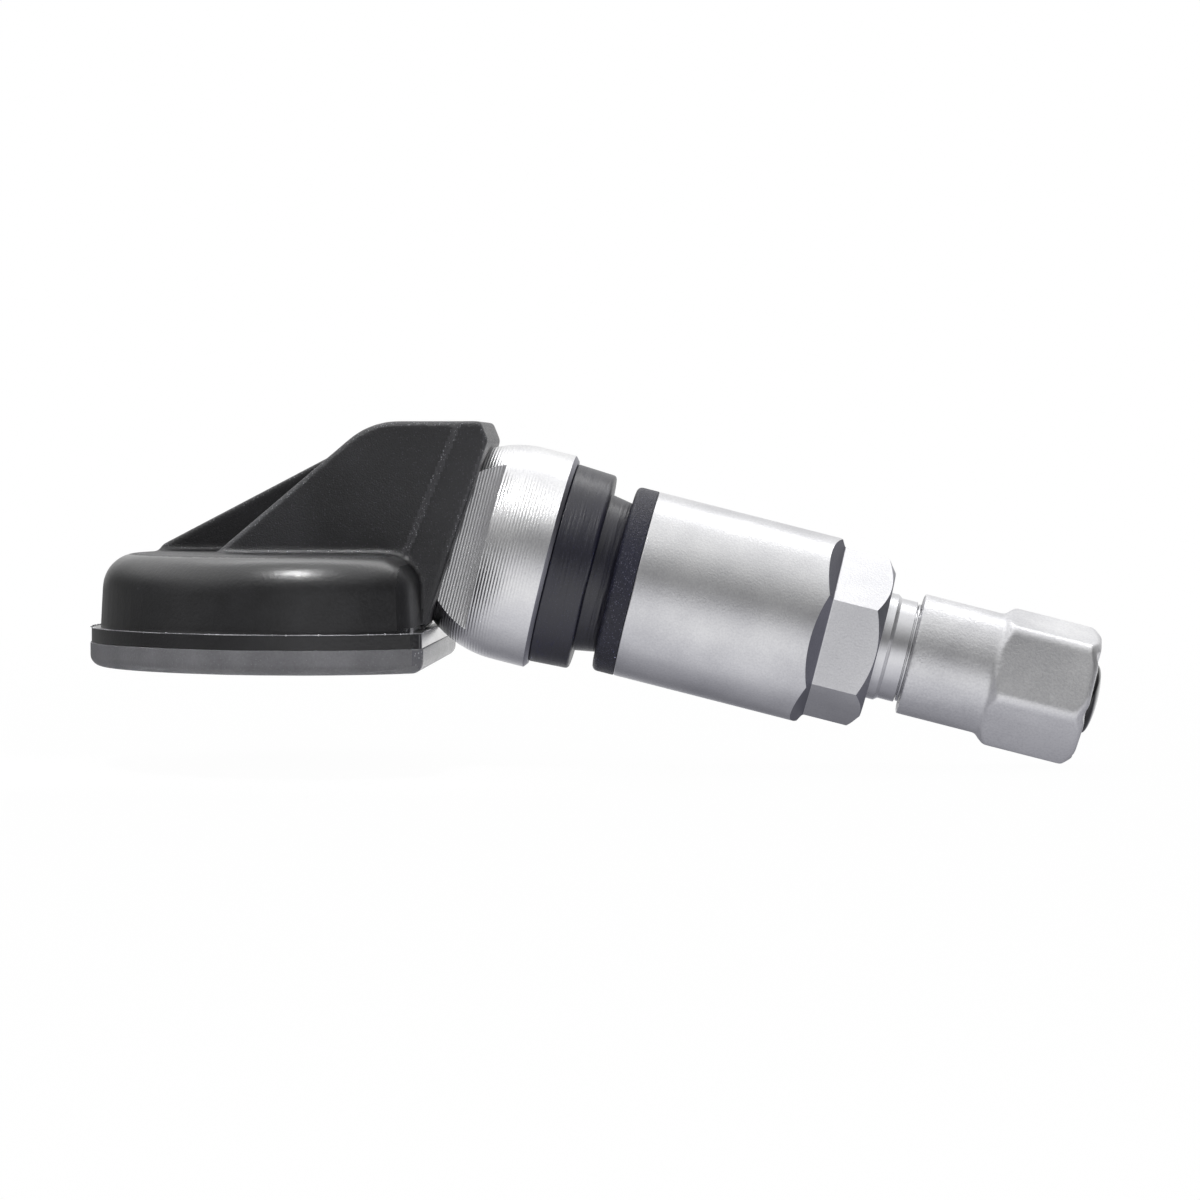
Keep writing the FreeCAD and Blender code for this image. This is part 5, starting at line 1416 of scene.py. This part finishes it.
@dataclass
class Studio:
    """White product studio: pale floor, softbox overhead, a narrow spot for the dome's
    highlight, dim camera side. Each span names two places and the tones there."""

    floor_z: float = -15.5
    floor_half: float = 4.0
    floor_glow: Four = (0.06, 0.3, 0.98, 1.0)
    floor_left: Four = (-0.075, -0.035, 0.15, 1.0)
    floor_right: Four = (0.08, 0.25, 1.0, 0.14)
    floor_blue: float = 0.13
    floor_matt: Four = (0.96, 0.96, 0.96, 1.0)
    sky_left: Four = (-0.5, -0.2, 0.1, 1.0)
    sky_right: Four = (0.55, 0.85, 1.0, 0.14)
    sky_front: Four = (-0.2, 0.3, 0.8, 0.0)
    sky_above: Four = (0.2, 0.5, 0.0, 1.0)
    sky_matt: Four = (0.62, 0.62, 0.63, 1.0)
    camera_place: Corner = (0.0162, -0.393, 0.00885)
    camera_aim: Corner = (0.00057, 0.0, -0.00222)
    lens: float = 147.0
    lamps: tuple[Lamp, ...] = (
        Lamp("softbox", (0.05, 0.255, 0.455), (0.0, 0.0, 0.0), (0.7, 0.08), 0.6,
             math.pi),
        Lamp("snooted_spot", (-0.05, -0.12, 0.225), (-0.034, -0.018, 0.0),
             (0.06, 0.03), 0.004, math.radians(6)),
    )
    walls: Stops = (
        # degrees from the camera's side over the top, and the tone there
        (-180, 0.85), (-20, 0.58), (0, 0.48), (15, 0.14), (30, 0.31), (48, 0.6),
        (70, 0.93), (100, 1.0), (130, 0.86), (150, 0.8), (165, 0.84), (180, 0.9),
    )
    table_with_painted_shadow: Stops = (
        # millimetres behind the valve's axis, and the tone that polished metal sees; the
        # dip from -8 to 12 mm is a painted shadow of the object on the floor
        (-200, 0.6), (-60, 0.82), (-22, 0.93), (-13, 0.74), (-8, 0.62), (-3, 0.34),
        (4, 0.2), (12, 0.34), (18, 0.76), (40, 1.0), (120, 1.0),
    )

    def build(self) -> None:
        """Builds floor, world, lamps and camera."""
        self.floor()
        self.world()
        for lamp in self.lamps:
            lamp.hang()
        self.camera()

    def ramp(self, tree: Nodes, value: Socket, unit: float, stops: Stops,
             blue: float = 0.0) -> Socket:
        """Adds a soft ramp of tones.

        Args:
            tree: the node tree.
            value: what the ramp is read by.
            unit: size of one unit of the stops' places in that value.
            stops: place and tone of each stop.
            blue: how much bluer the darkest tones are.

        Returns:
            The socket of the tone.
        """
        low, high = stops[0][0], stops[-1][0]
        share = tree.span(value, low * unit, high * unit)
        made = tree.group.nodes.new("ShaderNodeValToRGB")
        tree.group.links.new(share, made.inputs["Fac"])
        ramp = made.color_ramp
        ramp.interpolation = "EASE"
        while len(ramp.elements) < len(stops):
            ramp.elements.new(0.5)
        for mark, (place, tone) in zip(ramp.elements, stops):
            mark.position = (place - low) / (high - low)
            mark.color = (tone, tone, tone * (1.0 + blue * (1.0 - tone)), 1.0)
        return made.outputs[0]

    def dimmed(self, tree: Nodes, tone: Socket, left: Socket, right: Socket) -> Socket:
        """Dims a tone past the object's left and right ends.

        Args:
            tree: the node tree.
            tone: the tone.
            left: what is left of it at the left.
            right: what is left of it at the right.

        Returns:
            The socket of the dimmed tone.
        """
        return tree.add("ShaderNodeVectorMath", {
            0: tone, "Scale": tree.calc("MULTIPLY", left, right)}, operation="SCALE")[0]

    def rays(self, tree: Nodes) -> tuple[Socket, Socket]:
        """Tells rays apart.

        Args:
            tree: the node tree.

        Returns:
            The sockets that are 1 for the camera's own rays, and for those that a
            surface mirrors or lets through.
        """
        ray = tree.add("ShaderNodeLightPath")
        return ray["Is Camera Ray"], tree.calc("MAXIMUM", ray["Is Glossy Ray"],
                                               ray["Is Transmission Ray"])

    def floor(self) -> None:
        """Lays the pale floor, which keeps the object's shadow; what metal mirrors of it
        is a glowing tone with a painted shadow just under and behind the valve.
        """
        made = bmesh.new()
        bmesh.ops.create_grid(made, x_segments=4, y_segments=4, size=self.floor_half)
        bmesh.ops.translate(made, verts=made.verts, vec=(0, 0, self.floor_z * MM))
        plane = to_object(made, "floor")
        paint, tree = new_material("white_table")
        place = tree.add("ShaderNodeTexCoord")["Object"]
        reach = tree.add("ShaderNodeVectorMath", {0: place}, operation="LENGTH")["Value"]
        axes = tree.axes(place)
        tone = self.dimmed(
            tree, self.ramp(tree, axes["Y"], MM, self.table_with_painted_shadow, self.floor_blue),
            tree.span(axes["X"], *self.floor_left),
            tree.span(axes["X"], *self.floor_right))
        camera, shiny = self.rays(tree)
        seen = tree.calc("MULTIPLY", camera, tree.span(reach, *self.floor_glow))
        matt = tree.add("ShaderNodeBsdfDiffuse", {"Color": self.floor_matt})
        glow = tree.add("ShaderNodeEmission", {
            "Color": tree.mix(shiny, WHITE, tone), "Strength": 1.0})
        mixed = tree.add("ShaderNodeMixShader", {
            0: tree.calc("MAXIMUM", seen, shiny), 1: matt[0], 2: glow[0]})
        tree.add("ShaderNodeOutputMaterial", {"Surface": mixed[0]})
        plane.data.materials.append(paint)

    def world(self) -> None:
        """Surrounds the object with white, dimmer at the camera's side and both ends."""
        world = bpy.data.worlds.new("studio")
        bpy.context.scene.world = world
        world.use_nodes = True
        tree = Nodes(world.node_tree)
        axes = tree.axes(tree.add("ShaderNodeTexCoord")["Generated"])
        near = tree.calc("MULTIPLY", axes["Y"], -1.0)
        angle = tree.calc("ARCTAN2", axes["Z"], near)
        left = tree.calc("MAXIMUM", tree.span(axes["X"], *self.sky_left),
                         tree.span(axes["Y"], *self.sky_front))
        left = tree.calc("MAXIMUM", left, tree.span(axes["Z"], *self.sky_above))
        tone = self.dimmed(
            tree, self.ramp(tree, angle, math.radians(1), self.walls), left,
            tree.span(axes["X"], *self.sky_right))
        camera, shiny = self.rays(tree)
        shown = tree.mix(camera, tree.mix(shiny, self.sky_matt, tone), WHITE)
        sky = tree.add("ShaderNodeBackground", {"Color": shown, "Strength": 1.0})
        tree.add("ShaderNodeOutputWorld", {"Surface": sky[0]})

    def camera(self) -> None:
        """Sets the camera at the photograph's viewing angle."""
        data = bpy.data.cameras.new("camera")
        data.lens = self.lens
        data.sensor_width = 36.0
        data.sensor_fit = "HORIZONTAL"
        data.clip_start, data.clip_end = 0.01, 20.0
        bpy.context.scene.camera = aimed("camera", data, self.camera_place,
                                         self.camera_aim)


def main() -> None:
    """Builds the studio and every sub-assembly, in order."""
    logging.basicConfig(level=logging.INFO, format="%(name)s %(message)s")
    bpy.context.scene.view_settings.view_transform = "Standard"
    Studio().build()
    threads = thread_tree()
    ValveStem().build(threads)
    RimSeals().build()
    SleeveNut().build()
    ValveCap().build()
    SensorHousing().build(flash_tree())
    InnerParts().build()


if __name__ == "__main__":
    main()
